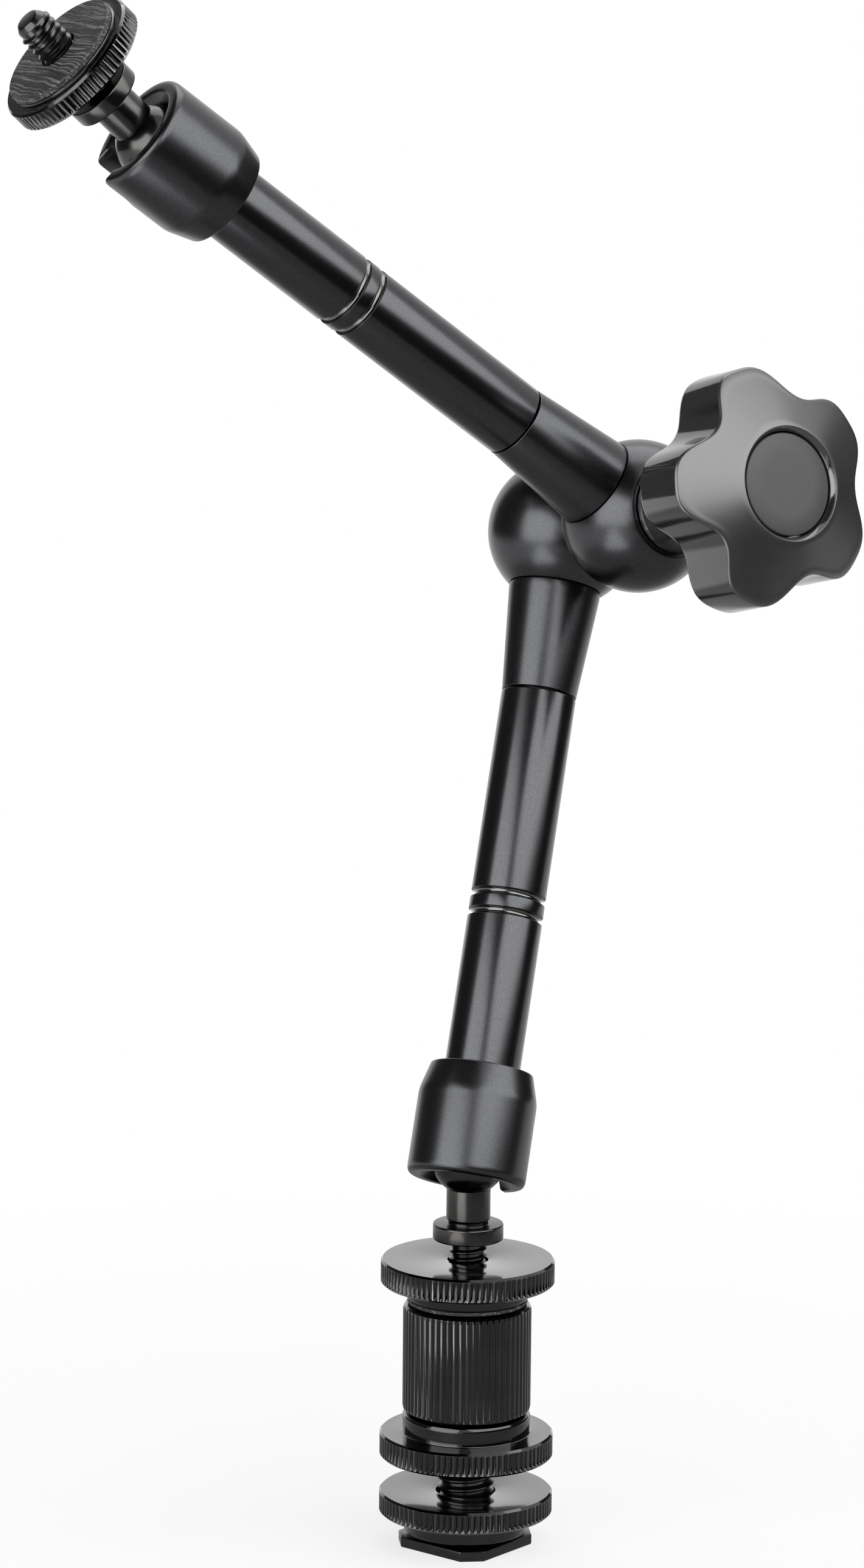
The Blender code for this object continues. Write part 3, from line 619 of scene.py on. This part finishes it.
def makeTube(side, place):
    size = tubeSize
    radius, ease = size["radius"], size["grooveEase"]
    outline = [(size["bore"], size["start"]), (radius, size["start"], size["startEase"])]
    half = size["grooveWidth"] / 2
    for middle in size["grooves"]:
        outline.append((radius, middle - half, ease))
        for angle in range(20, 161, 14):
            a = math.radians(angle)
            outline.append((radius - size["grooveDepth"] * math.sin(a),
                            middle - half * math.cos(a)))
        outline.append((radius, middle + half, ease))
    outline += [(radius, size["end"], size["endEase"]), (size["bore"], size["end"])]
    piece = turned(side + "TubeShell", eased(outline), size["sides"], ring=True)
    finish = anodisedFinish(side + "TubeAnodised", place, anodised["tubeRoughness"], size["cut"])
    finishPiece(piece, place, side + "_arm", side + "_tube", finish)


collarSize = {
    "start": 10.2,
    "end": 28.86,
    "radius": 7.8,
    "tubeRadius": 6.35,
    "band": 1.0,
    "bandTaper": 0.02,
    "ease": 0.3,
    "tubeEase": 0.12,
    "bore": 3.8,
    "spigot": 5.5,
    "spigotLength": 2.7,
    "tubeSpigot": 4.8,
    "tubeSpigotLength": 10.0,
    "sides": 128,
}


def makeCollar(side, place):
    size = collarSize
    start, end, ease = size["start"], size["end"], size["ease"]
    first, last = start - size["spigotLength"], end + size["tubeSpigotLength"]
    outline = [(size["bore"], first), (size["spigot"], first), (size["spigot"], start),
               (size["radius"], start, ease),
               (size["radius"] - size["bandTaper"], start + size["band"], ease),
               (size["tubeRadius"], end, size["tubeEase"]), (size["tubeSpigot"], end),
               (size["tubeSpigot"], last), (size["bore"], last)]
    piece = turned(side + "TaperCollar", eased(outline), size["sides"], ring=True)
    finishPiece(piece, place, side + "_arm", side + "_collar",
                anodisedFinish(side + "CollarAnodised", place))


cupSize = {
    "radius": 10.0,
    "lip": 4.0,
    "length": 14.3,
    "taper": 4.8,
    "endRadius": 8.65,
    "bore": 6.65,
    "throat": 6.25,
    "throatHeight": 2.27,
    "throatEase": 0.35,
    "mouth": 7.75,
    "slot": 4.12,
    "flare": 0.5,
    "slotReach": 20.0,
    "edge": 0.22,
    "edgeAngle": 50,
    "sides": 144,
}


def makeCup(side, place):
    size = cupSize
    lip, wide, flare, ease = size["lip"], size["slot"], size["flare"], size["throatEase"]
    back = lip - size["length"]
    end = back - size["taper"]
    outline = [(size["bore"], end), (size["endRadius"], end, 0.3), (size["radius"], back, 0.9),
               (size["radius"], lip, 1.5), (size["mouth"], lip, 0.35),
               (size["throat"] + ease, size["throatHeight"] + ease, 0.4)]
    inside = bow(0, 0, size["bore"], 18, 0, 5)
    piece = turned(side + "SocketCup", eased(outline, 6) + inside, size["sides"], ring=True)
    # the slot has a round end and opens a little at the lip
    top = lip + 3
    right = bow(wide + flare, lip + 0.02 - flare, flare, 180, 90, 8)
    left = [(-x, y) for x, y in reversed(right)]
    corners = [(wide + flare, top), (-wide - flare, top)]
    roundEnd = bow(0, 0, wide, -180, 0, 24)[1:-1]
    cutter = slab(side + "SlotCutter", right + corners + left + roundEnd, 0.0, size["slotReach"])
    turnPiece(cutter, Matrix(((0, 0, 1, 0), (1, 0, 0, 0), (0, 1, 0, 0), (0, 0, 0, 1))))
    cutBy(piece, cutter)
    easeEdges(piece, size["edgeAngle"], size["edge"])
    finishPiece(piece, place, side + "_socket", side + "_socket",
                anodisedFinish(side + "CupAnodised", place))


makeTube("lower", lowerArmSeat)
makeTube("upper", upperArmSeat)
makeCollar("lower", lowerArmSeat)
makeCollar("upper", upperArmSeat)
makeCup("lower", lowerCupSeat)
makeCup("upper", upperCupSeat)
print("arms made")

# elbow
elbowSize = {
    "ball": 12.9,
    "meet": 10.45,
    "ring": 7.3,
    "ringGap": 0.02,
    "ringEase": 0.06,
    "flat": 10.14,
    "flatRadius": 22.0,
    "knobFlat": 9.8,
    "cavity": 6.6,
    "cavityFloor": -5.0,
    "pocket": 5.8,
    "pocketFloor": 6.9,
    "edge": 0.1,
    "edgeAngle": 35,
    "sides": 160,
    "ringSides": 96,
    "cutterSides": 64,
    "cutterEnd": 30.0,
}


# two balls that are cut off where they meet, halfway between their centres
def makeElbowHalf(side, place, bored):
    size = elbowSize
    ball, meet, cavity = size["ball"], size["meet"], size["cavity"]
    meetAngle = math.degrees(math.asin(meet / ball))
    if bored:
        flatAngle = math.degrees(math.asin(size["knobFlat"] / ball))
        outline = [(cavity, -meet)] + bow(0, 0, ball, -meetAngle, flatAngle, 48)
        outline += [(cavity, size["knobFlat"])]
    else:
        floor = size["cavityFloor"]
        outline = [(0.0, -ball)] + bow(0, 0, ball, -90, meetAngle, 64)[1:]
        outline += [(cavity, meet), (cavity, floor), (0.0, floor)]
    piece = turned(side + "ElbowBall", outline, size["sides"], ring=bored)
    # the flat that the collar sits on, and the pocket for its spigot
    for cutterName, radius, start in (("Flat", size["flatRadius"], size["flat"]),
                                      ("Pocket", size["pocket"], size["pocketFloor"])):
        cutter = turned(side + cutterName, [(radius, start), (radius, size["cutterEnd"])],
                        size["cutterSides"])
        turnPiece(cutter, Matrix.Rotation(math.pi / 2, 4, "Y"))
        cutBy(piece, cutter)
    easeEdges(piece, size["edgeAngle"], size["edge"])
    finish = anodisedFinish(side + "ElbowAnodised", place, anodised["elbowRoughness"])
    finishPiece(piece, place, side + "_arm", side + "_elbow_half", finish)


def makeFrictionRing():
    size = elbowSize
    low = size["meet"] + size["ringGap"]
    high = elbowGap / mm - low
    outline = [(size["cavity"], low), (size["ring"], low, size["ringEase"]),
               (size["ring"], high, size["ringEase"]), (size["cavity"], high)]
    piece = turned("FrictionRing", eased(outline, 2), size["ringSides"], ring=True)
    finishPiece(piece, lowerElbowSeat, "lower_arm", "elbow_friction_washer",
                plasticFinish("frictionWasher"))


makeFrictionRing()
makeElbowHalf("lower", lowerElbowSeat, False)
makeElbowHalf("upper", upperElbowSeat, True)
print("elbow made")

# knob
knobSize = {
    "lobes": 5,
    "tip": 20.1,
    "valley": 15.5,
    "turn": 32.0,
    "columns": 28,
    "slope": 0.445,
    "bore": 5.7,
    "neck": 7.9,
    "start": 11.4,
    "back": 27.2,
    "front": 36.6,
    "crown": 41.8,
    "crownRadius": 9.8,
    "capRadius": 8.5,
    "capRecess": 0.8,
    "capFloor": 3.9,
    "sharp": 34,
}
knobPlastic = {
    "dark": (0.012, 0.012, 0.013),
    "light": (0.019, 0.019, 0.0195),
    "polished": 0.1,
    "satin": 0.3,
    "satinFrom": (45.65, 45.85),
    "grain": 4200.0,
    "cloud": 130.0,
    "uneven": (0.06, 0.05),
    "gloss": 1.98,
    "bump": 0.05,
    "bumpHeight": 0.00003,
}


# the moulded face is satin and the sides are polished
def knobFinish(place):
    finish, tree, where = newFinish("knobPlastic", place)
    height, reach = tree.fromAxis(where)[:2]
    low, high = knobPlastic["satinFrom"]
    face = tree.between(height + reach * knobSize["slope"], low * mm, high * mm)
    grain = tree.noise(where, knobPlastic["grain"], 3.0, 0.6)
    cloud = tree.noise(where, knobPlastic["cloud"])
    share = tree.between(grain * 0.6 + cloud * 0.4, 0.35, 0.65)
    colour = tree.blend(share, knobPlastic["dark"], knobPlastic["light"])
    slow, fast = knobPlastic["uneven"]
    rough = face * (knobPlastic["satin"] - knobPlastic["polished"]) + knobPlastic["polished"]
    rough = rough + (cloud - 0.5) * slow + (grain - 0.5) * fast
    bump = tree.bump(knobPlastic["bump"], knobPlastic["bumpHeight"], grain * face)
    closeFinish(tree, colour, rough, 0.0, bump, {"IOR": knobPlastic["gloss"]})
    return finish


# radius of the knob's side at an angle from a lobe's middle
def lobeRadius(angle):
    size = knobSize
    wave = 0.5 + 0.5 * math.cos(angle * size["lobes"])
    return size["valley"] + (size["tip"] - size["valley"]) * (wave + 1.1 * wave * wave * (1 - wave))


# height of the face, a shallow cone that the lobed side cuts
def faceHeight(radius):
    return knobSize["crown"] - knobSize["slope"] * (radius - knobSize["crownRadius"])


def makeKnob():
    size = knobSize
    start, back, front = size["start"], size["back"], size["front"]
    neck, crown, rim, cap = size["neck"], size["crown"], size["crownRadius"], size["capRadius"]
    floor, columns = crown - size["capFloor"], size["columns"]
    plain = [(size["bore"], start), (neck - 0.5, start), (neck - 0.1, start + 0.15),
             (neck, start + 0.5), (neck, back - 0.6), (neck + 0.2, back - 0.15), (neck + 0.8, back)]
    # rows of the lobed part: how far inside the side, height, and share of the way to the crown;
    # the heights of the back rows are from the knob's back, and of the face rows from the face
    backRows = [(3.0, -0.02), (1.2, 0.0), (0.55, 0.06), (0.25, 0.22), (0.07, 0.5), (0.0, 0.9)]
    faceRows = [(0.0, -0.45), (0.03, -0.24), (0.1, -0.08), (0.22, 0.02), (0.4, 0.06)]
    rows = [(inset, back + height, 0, False) for inset, height in backRows]
    rows += [(0.0, front - 2.0, 0, False)]
    rows += [(inset, height, 0, True) for inset, height in faceRows]
    rows += [(0.4, 0.0, k / 10, True) for k in range(1, 11)]
    low = crown - size["capRecess"]
    inside = [(rim - 0.25, crown + 0.04), (rim - 0.42, crown - 0.06), (cap + 0.42, low + 0.12),
              (cap + 0.3, low - 0.05), (cap + 0.25, low - 0.4), (cap + 0.25, floor),
              (size["bore"], floor)]
    # each row starts as a ring of its own radius and height, by which it is found again
    marks = [(size["tip"] + 0.001 * i, front - 1.5 + 0.05 * i if row[3] else row[1])
             for i, row in enumerate(rows)]
    count = size["lobes"] * columns
    piece = turned("LobedKnob", plain + marks + inside, count, ring=True)
    for (radius, mark), (inset, height, share, onFace) in zip(marks, rows):
        for k in range(columns // 2 + 1):
            side = lobeRadius(fullTurn * k / count) - inset
            want = side + (rim - side) * share
            lift = faceHeight(want) + height * (1 - share) - mark if onFace else 0

            def onRow(co):
                if abs(co.z - mark) > 1e-3 or abs(co.xy.length - radius) > 4e-4:
                    return False
                return columnOf(co, count) % columns in (k, columns - k)

            pickVerts(piece, onRow)
            bpy.ops.transform.resize(value=(want / radius, want / radius, 1),
                                     center_override=(0, 0, 0))
            bpy.ops.transform.translate(value=(0, 0, lift))
    bpy.ops.object.mode_set(mode="OBJECT")
    turnPiece(piece, Matrix.Rotation(math.radians(size["turn"]), 4, "Z"))
    finishPiece(piece, knobSeat, "knob", "knob", knobFinish(knobSeat),
                size["sharp"])


def makeCap():
    radius = knobSize["capRadius"]
    top = knobSize["crown"] - knobSize["capRecess"]
    outline = [(radius - 0.1, top - 2.8), (radius, top - 2.6), (radius, top - 0.35),
               (radius - 0.1, top - 0.12), (radius - 0.35, top), (radius * 0.6, top + 0.02),
               (0.0, top + 0.03)]
    piece = turned("KnobCapDisc", outline)
    finishPiece(piece, knobSeat, "knob", "knob_cap", plasticFinish("capPlastic"))


makeKnob()
makeCap()
print("knob made")

# studs
studSize = {
    "ball": 6.35,
    "neck": 3.7,
    "undercut": 3.4,
    "undercutLength": 0.5,
    "collar": 5.92,
    "collarNear": 11.18,
    "collarFar": 13.91,
    "screw": 3.15,
    "core": 2.65,
    "point": 1.95,
    "length": 30.4,
    "pitch": 1.27,
    "sides": 96,
}
threadSteps = 40  # in each turn


# a ridge wound round a core and closed at both ends, nearly as wide as the pitch at its root
def makeThread(name, radius, core, low, high, pitch):
    half = pitch * 0.5
    root = core - 0.25
    profile = ((root, -half * 0.95), (radius, -half * 0.14), (radius, half * 0.14),
               (root, half * 0.95))
    deselectAll()
    bpy.ops.mesh.primitive_circle_add(vertices=4, radius=1, location=(0, 0, 0))
    ridge = bpy.context.object
    ridge.name = name
    for vert, (x, z) in zip(ridge.data.vertices, profile):
        vert.co = (x, 0, low + half + z)
    only(ridge)
    turns = (high - low - 2 * half) / pitch
    change = ridge.modifiers.new("helix", "SCREW")
    change.axis = "Z"
    change.angle = fullTurn * turns
    change.screw_offset = pitch * turns
    change.steps = int(turns * threadSteps)
    change.render_steps = change.steps
    applyAll(ridge)
    bpy.ops.object.mode_set(mode="EDIT")
    bpy.ops.mesh.select_mode(type="VERT")
    bpy.ops.mesh.select_all(action="DESELECT")
    bpy.ops.mesh.select_non_manifold(extend=False, use_wire=False, use_boundary=True,
                                     use_multi_face=False, use_non_contiguous=False,
                                     use_verts=False)
    bpy.ops.mesh.fill_holes(sides=6)
    closeEdit()
    return ridge


def makeStud(side, place):
    size = studSize
    ball, neck, under, core = size["ball"], size["neck"], size["undercut"], size["core"]
    near, far, length = size["collarNear"], size["collarFar"], size["length"]
    topAngle = math.degrees(math.acos(neck / ball))
    head = [(0.0, -ball)] + bow(0, 0, ball, -90, topAngle, 36)[1:]
    tail = [head[-1], (neck, near - size["undercutLength"] - 0.4, 0.1),
            (under, near - size["undercutLength"], 0.1), (under, near, 0.1),
            (size["collar"], near, 0.3), (size["collar"], far, 0.3), (core, far, 0.2),
            (core, length - 1.0, 0.2), (size["point"], length, 0.2), (0.0, length)]
    piece = turned(side + "BallStud", head + eased(tail)[1:], size["sides"])
    thread = makeThread(side + "StudThread", size["screw"], core, far + 0.6, length - 0.9,
                        size["pitch"])
    joinTo(piece, thread)
    finishPiece(piece, place, side + "_stud", side + "_ball_stud",
                studFinish(side + "StudMetal", place))


makeStud("lower", lowerStudSeat)
makeStud("upper", upperStudSeat)
print("studs made")

# ribbed wheels and discs: each hub ends at hubEnd, and the ribbed part runs from start to end
ribRow = (0.0, 0.03, 0.17, 0.32, 0.17, 0.03)  # how deep the columns of one rib lie
rimSlope = 0.35
ribStart = 0.7
ribMargin = 0.5
ribSharp = 24
footWheelSize = {"radius": 14.6, "ribs": 88, "hub": 10.4, "hubEnd": 2.55, "hubEase": 0.4,
                 "start": 5.69, "end": 9.49, "hole": 5.06}
barrelWheelSize = {"radius": 14.6, "ribs": 88, "hub": 10.8, "hubEnd": 23.1, "hubEase": 0.9,
                   "start": 19.75, "end": 15.55, "hole": 5.06}
lowerDiscSize = {"radius": 14.6, "ribs": 88, "hub": 10.4, "hubEnd": 23.85, "hubEase": 0.4,
                 "start": 21.45, "end": 17.3, "hole": 3.45}
upperDiscSize = {"radius": 12.55, "ribs": 71, "hub": 10.5, "hubEnd": 21.85, "hubEase": 0.15,
                 "start": 21.5, "end": 17.8, "hole": 3.45}


def makeRibbed(name, place, body, node, size):
    radius, hole, start, end = size["radius"], size["hole"], size["start"], size["end"]
    way = 1 if end > start else -1
    slope, level = rimSlope * way, ribStart * way
    outline = [(hole, size["hubEnd"]), (size["hub"], size["hubEnd"], size["hubEase"]),
               (size["hub"], start, 0.2), (radius - 0.9, start), (radius - rimSlope, start),
               (radius, start + slope), (radius, start + level), (radius, end - level),
               (radius, end - slope), (radius - rimSlope, end), (radius - 0.9, end),
               (hole + 1.2, end), (hole, end - 0.25 * way)]
    piece = turned(name, eased(outline), size["ribs"] * len(ribRow), ring=True)
    low, high = min(start, end) + ribMargin, max(start, end) - ribMargin
    knurl(piece, size["ribs"], ribRow, radius, low, high)
    finish = wheelFinish(name + "Metal", place, radius)
    finishPiece(piece, place, body, node, finish, ribSharp)


barrelSize = {
    "radius": 10.8,
    "bottom": 23.4,
    "top": 41.9,
    "ribs": 60,
    "post": 5.06,
    "postCeiling": 33.7,
    "screw": 3.45,
    "screwFloor": 35.3,
}


def makeBarrel():
    size = barrelSize
    low, high, radius = size["bottom"], size["top"], size["radius"]
    outline = [(0.0, size["postCeiling"]), (size["post"], size["postCeiling"]), (size["post"], low),
               (radius - 0.9, low), (radius - 0.45, low + 0.08), (radius - 0.12, low + 0.4),
               (radius, low + 0.95), (radius, high - 0.95), (radius - 0.12, high - 0.4),
               (radius - 0.45, high - 0.08), (radius - 0.9, high), (size["screw"], high),
               (size["screw"], size["screwFloor"]), (0.0, size["screwFloor"])]
    piece = turned("CouplingBarrel", outline, size["ribs"] * len(ribRow))
    knurl(piece, size["ribs"], ribRow, radius, low + ribMargin, high - ribMargin)
    finish = wheelFinish("BarrelMetal", stackSeat, radius)
    finishPiece(piece, stackSeat, "barrel", "coupling_barrel", finish, ribSharp)


padSize = {
    "hole": 3.45,
    "lower": {"radius": 10.1, "near": 24.15, "far": 24.75, "nearEase": 0.15, "farEase": 0.15},
    "upper": {"radius": 10.5, "near": 21.95, "far": 23.05, "nearEase": 0.1, "farEase": 0.2},
}


def makePad(side, name, place):
    size, hole = padSize[side], padSize["hole"]
    outline = [(hole, size["near"]), (size["radius"], size["near"], size["nearEase"]),
               (size["radius"], size["far"], size["farEase"]), (hole, size["far"])]
    piece = turned(name + "Ring", eased(outline), ring=True)
    finishPiece(piece, place, side + "_pad", side + "_disc_pad",
                rubberFinish(name + "Rubber", place))


footSize = {
    "width": 18.6,
    "corner": 2.9,
    "thickness": 1.8,
    "edge": 0.25,
    "edgeAngle": 30,
    "turn": 50.9,
    "post": 4.76,
    "core": 4.1,
    "point": 3.5,
    "height": 33.4,
    "pitch": 1.5875,
    "sides": 96,
}


def makeFoot():
    size = footSize
    core, thick, height = size["core"], size["thickness"], size["height"]
    half = size["width"] / 2
    short = half - size["corner"]
    corners = [(half, -short), (half, short), (short, half), (-short, half), (-half, short),
               (-half, -short), (-short, -half), (short, -half)]
    plate = slab("ShoeFootPlate", corners, 0.0, thick)
    easeEdges(plate, size["edgeAngle"], size["edge"])
    turnPiece(plate, Matrix.Rotation(math.radians(size["turn"]), 4, "Z"))
    outline = eased([(0.0, 1.0), (core, 1.0), (core, height - 0.8, 0.2),
                     (size["point"], height, 0.2), (0.0, height)])
    post = turned("FootPost", outline, size["sides"])
    thread = makeThread("FootThread", size["post"], core, thick + 0.3, height - 0.7, size["pitch"])
    joinTo(plate, post, thread)
    finish = studFinish("FootMetal", stackSeat, studMetal["footRoughness"])
    finishPiece(plate, stackSeat, "base", "shoe_foot", finish)


makeRibbed("FootWheel", stackSeat, "foot_wheel", "foot_clamp_wheel", footWheelSize)
makeRibbed("BarrelWheel", stackSeat, "barrel_wheel", "barrel_lock_wheel", barrelWheelSize)
makeRibbed("LowerDisc", lowerStudSeat, "lower_disc", "lower_lock_disc", lowerDiscSize)
makeRibbed("UpperDisc", upperStudSeat, "upper_disc", "upper_lock_disc", upperDiscSize)
makeBarrel()
makePad("lower", "LowerPad", lowerStudSeat)
makePad("upper", "UpperPad", upperStudSeat)
makeFoot()
print("stack made")

# room, light and camera, in metres; the floor fades to pure white between nearby and clear, and
# reflections see it dimmer up to dimEnd, a painted shade round the object that only reflections see
white = (1, 1, 1)
roomSize = {
    "floor": 6.0,
    "nearby": 0.05,
    "clear": 0.24,
    "shade": 0.25,
    "dim": 0.6,
    "dimStart": 0.19,
    "dimEnd": 0.27,
    "mottle": 30.0,
    "pale": (0.8, 0.8, 0.8),
    "paler": (0.84, 0.84, 0.84),
    "fill": 0.15,
    "middle": 0.14,
    "cardLift": 0.002,
}


def makeFloor():
    size = roomSize
    deselectAll()
    bpy.ops.mesh.primitive_plane_add(size=size["floor"], location=(0, 0, 0))
    floor = bpy.context.object
    floor.name = "StudioFloor"
    finish, tree, where = newFinish("paleFloor")
    path = tree.node("ShaderNodeLightPath")
    reach = tree.length(where)
    clear = tree.between(reach, size["nearby"], size["clear"])
    seen = path["Is Camera Ray"] * (clear * size["shade"] + (1.0 - size["shade"]))
    seen = seen + path["Is Glossy Ray"]
    # painted shade: for reflections, the floor's glow is darker near the object
    near = 1.0 - tree.between(reach, size["dimStart"], size["dimEnd"])
    level = 1.0 - path["Is Glossy Ray"] * near * size["dim"]
    pale = tree.blend(tree.noise(where, size["mottle"], 4.0, 0.6), size["pale"], size["paler"])
    matte = tree.node("ShaderNodeBsdfDiffuse", None, {"Color": pale})["BSDF"]
    glow = tree.node("ShaderNodeEmission", None,
                     {"Color": tree.blend(level, (0, 0, 0), white), "Strength": 1.0})["Emission"]
    mixed = tree.node("ShaderNodeMixShader", None, {0: seen, 1: matte, 2: glow})["Shader"]
    tree.node("ShaderNodeOutputMaterial", None, {"Surface": mixed})
    floor.data.materials.append(finish)


# the camera, reflections and clear pieces see white, and all else is lit by the dim fill
def makeSky():
    world = bpy.data.worlds.new("studioWorld")
    bpy.context.scene.world = world
    tree = Tree(world)
    path = tree.node("ShaderNodeLightPath")
    seen = path["Is Camera Ray"]
    for kind in ("Is Glossy Ray", "Is Transmission Ray"):
        seen = seen.maths("MAXIMUM", seen, path[kind])
    shown, dim = (tree.node("ShaderNodeBackground", None,
                            {"Color": white, "Strength": strength})["Background"]
                  for strength in (1.0, roomSize["fill"]))
    mixed = tree.node("ShaderNodeMixShader", None, {0: seen, 1: dim, 2: shown})["Shader"]
    tree.node("ShaderNodeOutputWorld", None, {"Surface": mixed})


# azimuth is measured from the camera to the right, and both angles are seen from the middle
def aim(holder, azimuth, elevation, distance):
    a, e = math.radians(azimuth), math.radians(elevation)
    target = Vector((0, 0, roomSize["middle"]))
    way = Vector((math.sin(a) * math.cos(e), -math.cos(a) * math.cos(e), math.sin(e)))
    holder.location = target + distance * way
    holder.rotation_euler = (-way).to_track_quat("-Z", "Y").to_euler()


def widthOf(distance, halfAngle):
    return 2 * distance * math.tan(math.radians(halfAngle))


# a card that only reflections see: most are dark flags, and a bright one is a glow
def makeCard(name, level):
    deselectAll()
    bpy.ops.mesh.primitive_plane_add(size=1.0, location=(0, 0, 0))
    flag = bpy.context.object
    flag.name = name
    finish, tree = newFinish(name + "Card")[:2]
    card = tree.node("ShaderNodeEmission", None, {"Color": white, "Strength": level})["Emission"]
    tree.node("ShaderNodeOutputMaterial", None, {"Surface": card})
    flag.data.materials.append(finish)
    for kind in ("visible_camera", "visible_diffuse", "visible_shadow", "visible_transmission"):
        setattr(flag, kind, False)
    return flag


def makeFlag(name, azimuth, elevation, distance, wide, high, level):
    flag = makeCard(name, level)
    flag.scale = (widthOf(distance, wide), widthOf(distance, high), 1)
    aim(flag, azimuth, elevation, distance)


# lies just over the floor, from near to far along its azimuth
def makeFloorFlag(name, azimuth, near, far, width, level):
    flag = makeCard(name, level)
    angle = math.radians(azimuth)
    away = (near + far) / 2
    flag.location = (away * math.sin(angle), -away * math.cos(angle), roomSize["cardLift"])
    flag.rotation_euler = (0, 0, angle)
    flag.scale = (width, far - near, 1)


# level is the brightness of the softbox's face, where 1 is the white background
def makeLamp(name, azimuth, elevation, distance, wide, high, level):
    lamp = bpy.data.lights.new(name, "AREA")
    lamp.shape = "RECTANGLE"
    lamp.size = widthOf(distance, wide)
    lamp.size_y = widthOf(distance, high)
    lamp.energy = level * math.pi * lamp.size * lamp.size_y
    holder = bpy.data.objects.new(name, lamp)
    bpy.context.scene.collection.objects.link(holder)
    aim(holder, azimuth, elevation, distance)
    holder.visible_camera = False


# azimuth, elevation, distance, half the angle across, half the angle up, and level
softboxes = {
    "LeftBox": (-41, 13, 1.2, 26, 25, 2.7),
    "RightBox": (50, 36, 1.2, 38, 23, 2.7),
    "BackBox": (180, 62, 1.4, 30, 20, 2.0),
}
flags = {
    "BackRightFlag": (121, -4, 1.0, 33, 26, 0.06),
    "BackLeftFlag": (-108, 8, 1.0, 34, 36, 0.1),
    "HighLeftFlag": (-70, 66, 1.0, 48, 20, 0.01),
    "LowFrontFlag": (42, -1, 1.5, 50, 10, 0.01),
}
# azimuth, near end, far end, width and level
floorFlags = {
    "FloorFlag": (48, 0.36, 3.0, 4.2, 0.04),
    "NearFloorFlag": (44, 0.16, 0.36, 0.6, 0.36),
    "LeftFloorGlow": (-37, 0.16, 0.7, 0.16, 3.4),
}
makeFloor()
makeSky()
for make, rows in ((makeLamp, softboxes), (makeFlag, flags), (makeFloorFlag, floorFlags)):
    for name, row in rows.items():
        make(name, *row)

cameraSize = {
    "sensor": 36.0,
    "focal": 10337.09,  # in pixels of the photograph
    "height": 2576,
    "clip": (0.01, 50),
    "place": (-0.006738, -1.021667, 0.324883),
    "right": (0.99995854, 0.00170222, 0.00894527),
    "up": (-0.00910579, 0.18693034, 0.98233097),
    "forward": (0.0, 0.9823717, -0.18693809),
}


def makeCamera():
    size = cameraSize
    camera = bpy.data.cameras.new("photoCamera")
    camera.sensor_fit = "AUTO"
    camera.sensor_width = size["sensor"]
    camera.lens = size["sensor"] * size["focal"] / size["height"]
    camera.clip_start, camera.clip_end = size["clip"]
    holder = bpy.data.objects.new("photoCamera", camera)
    bpy.context.scene.collection.objects.link(holder)
    right, up, forward = (Vector(size[key]) for key in ("right", "up", "forward"))
    turn = Matrix((right, up, -forward)).transposed().to_4x4()
    holder.matrix_world = Matrix.Translation(size["place"]) @ turn
    bpy.context.scene.camera = holder


makeCamera()
bpy.context.scene.view_settings.view_transform = "Standard"
print("room made")
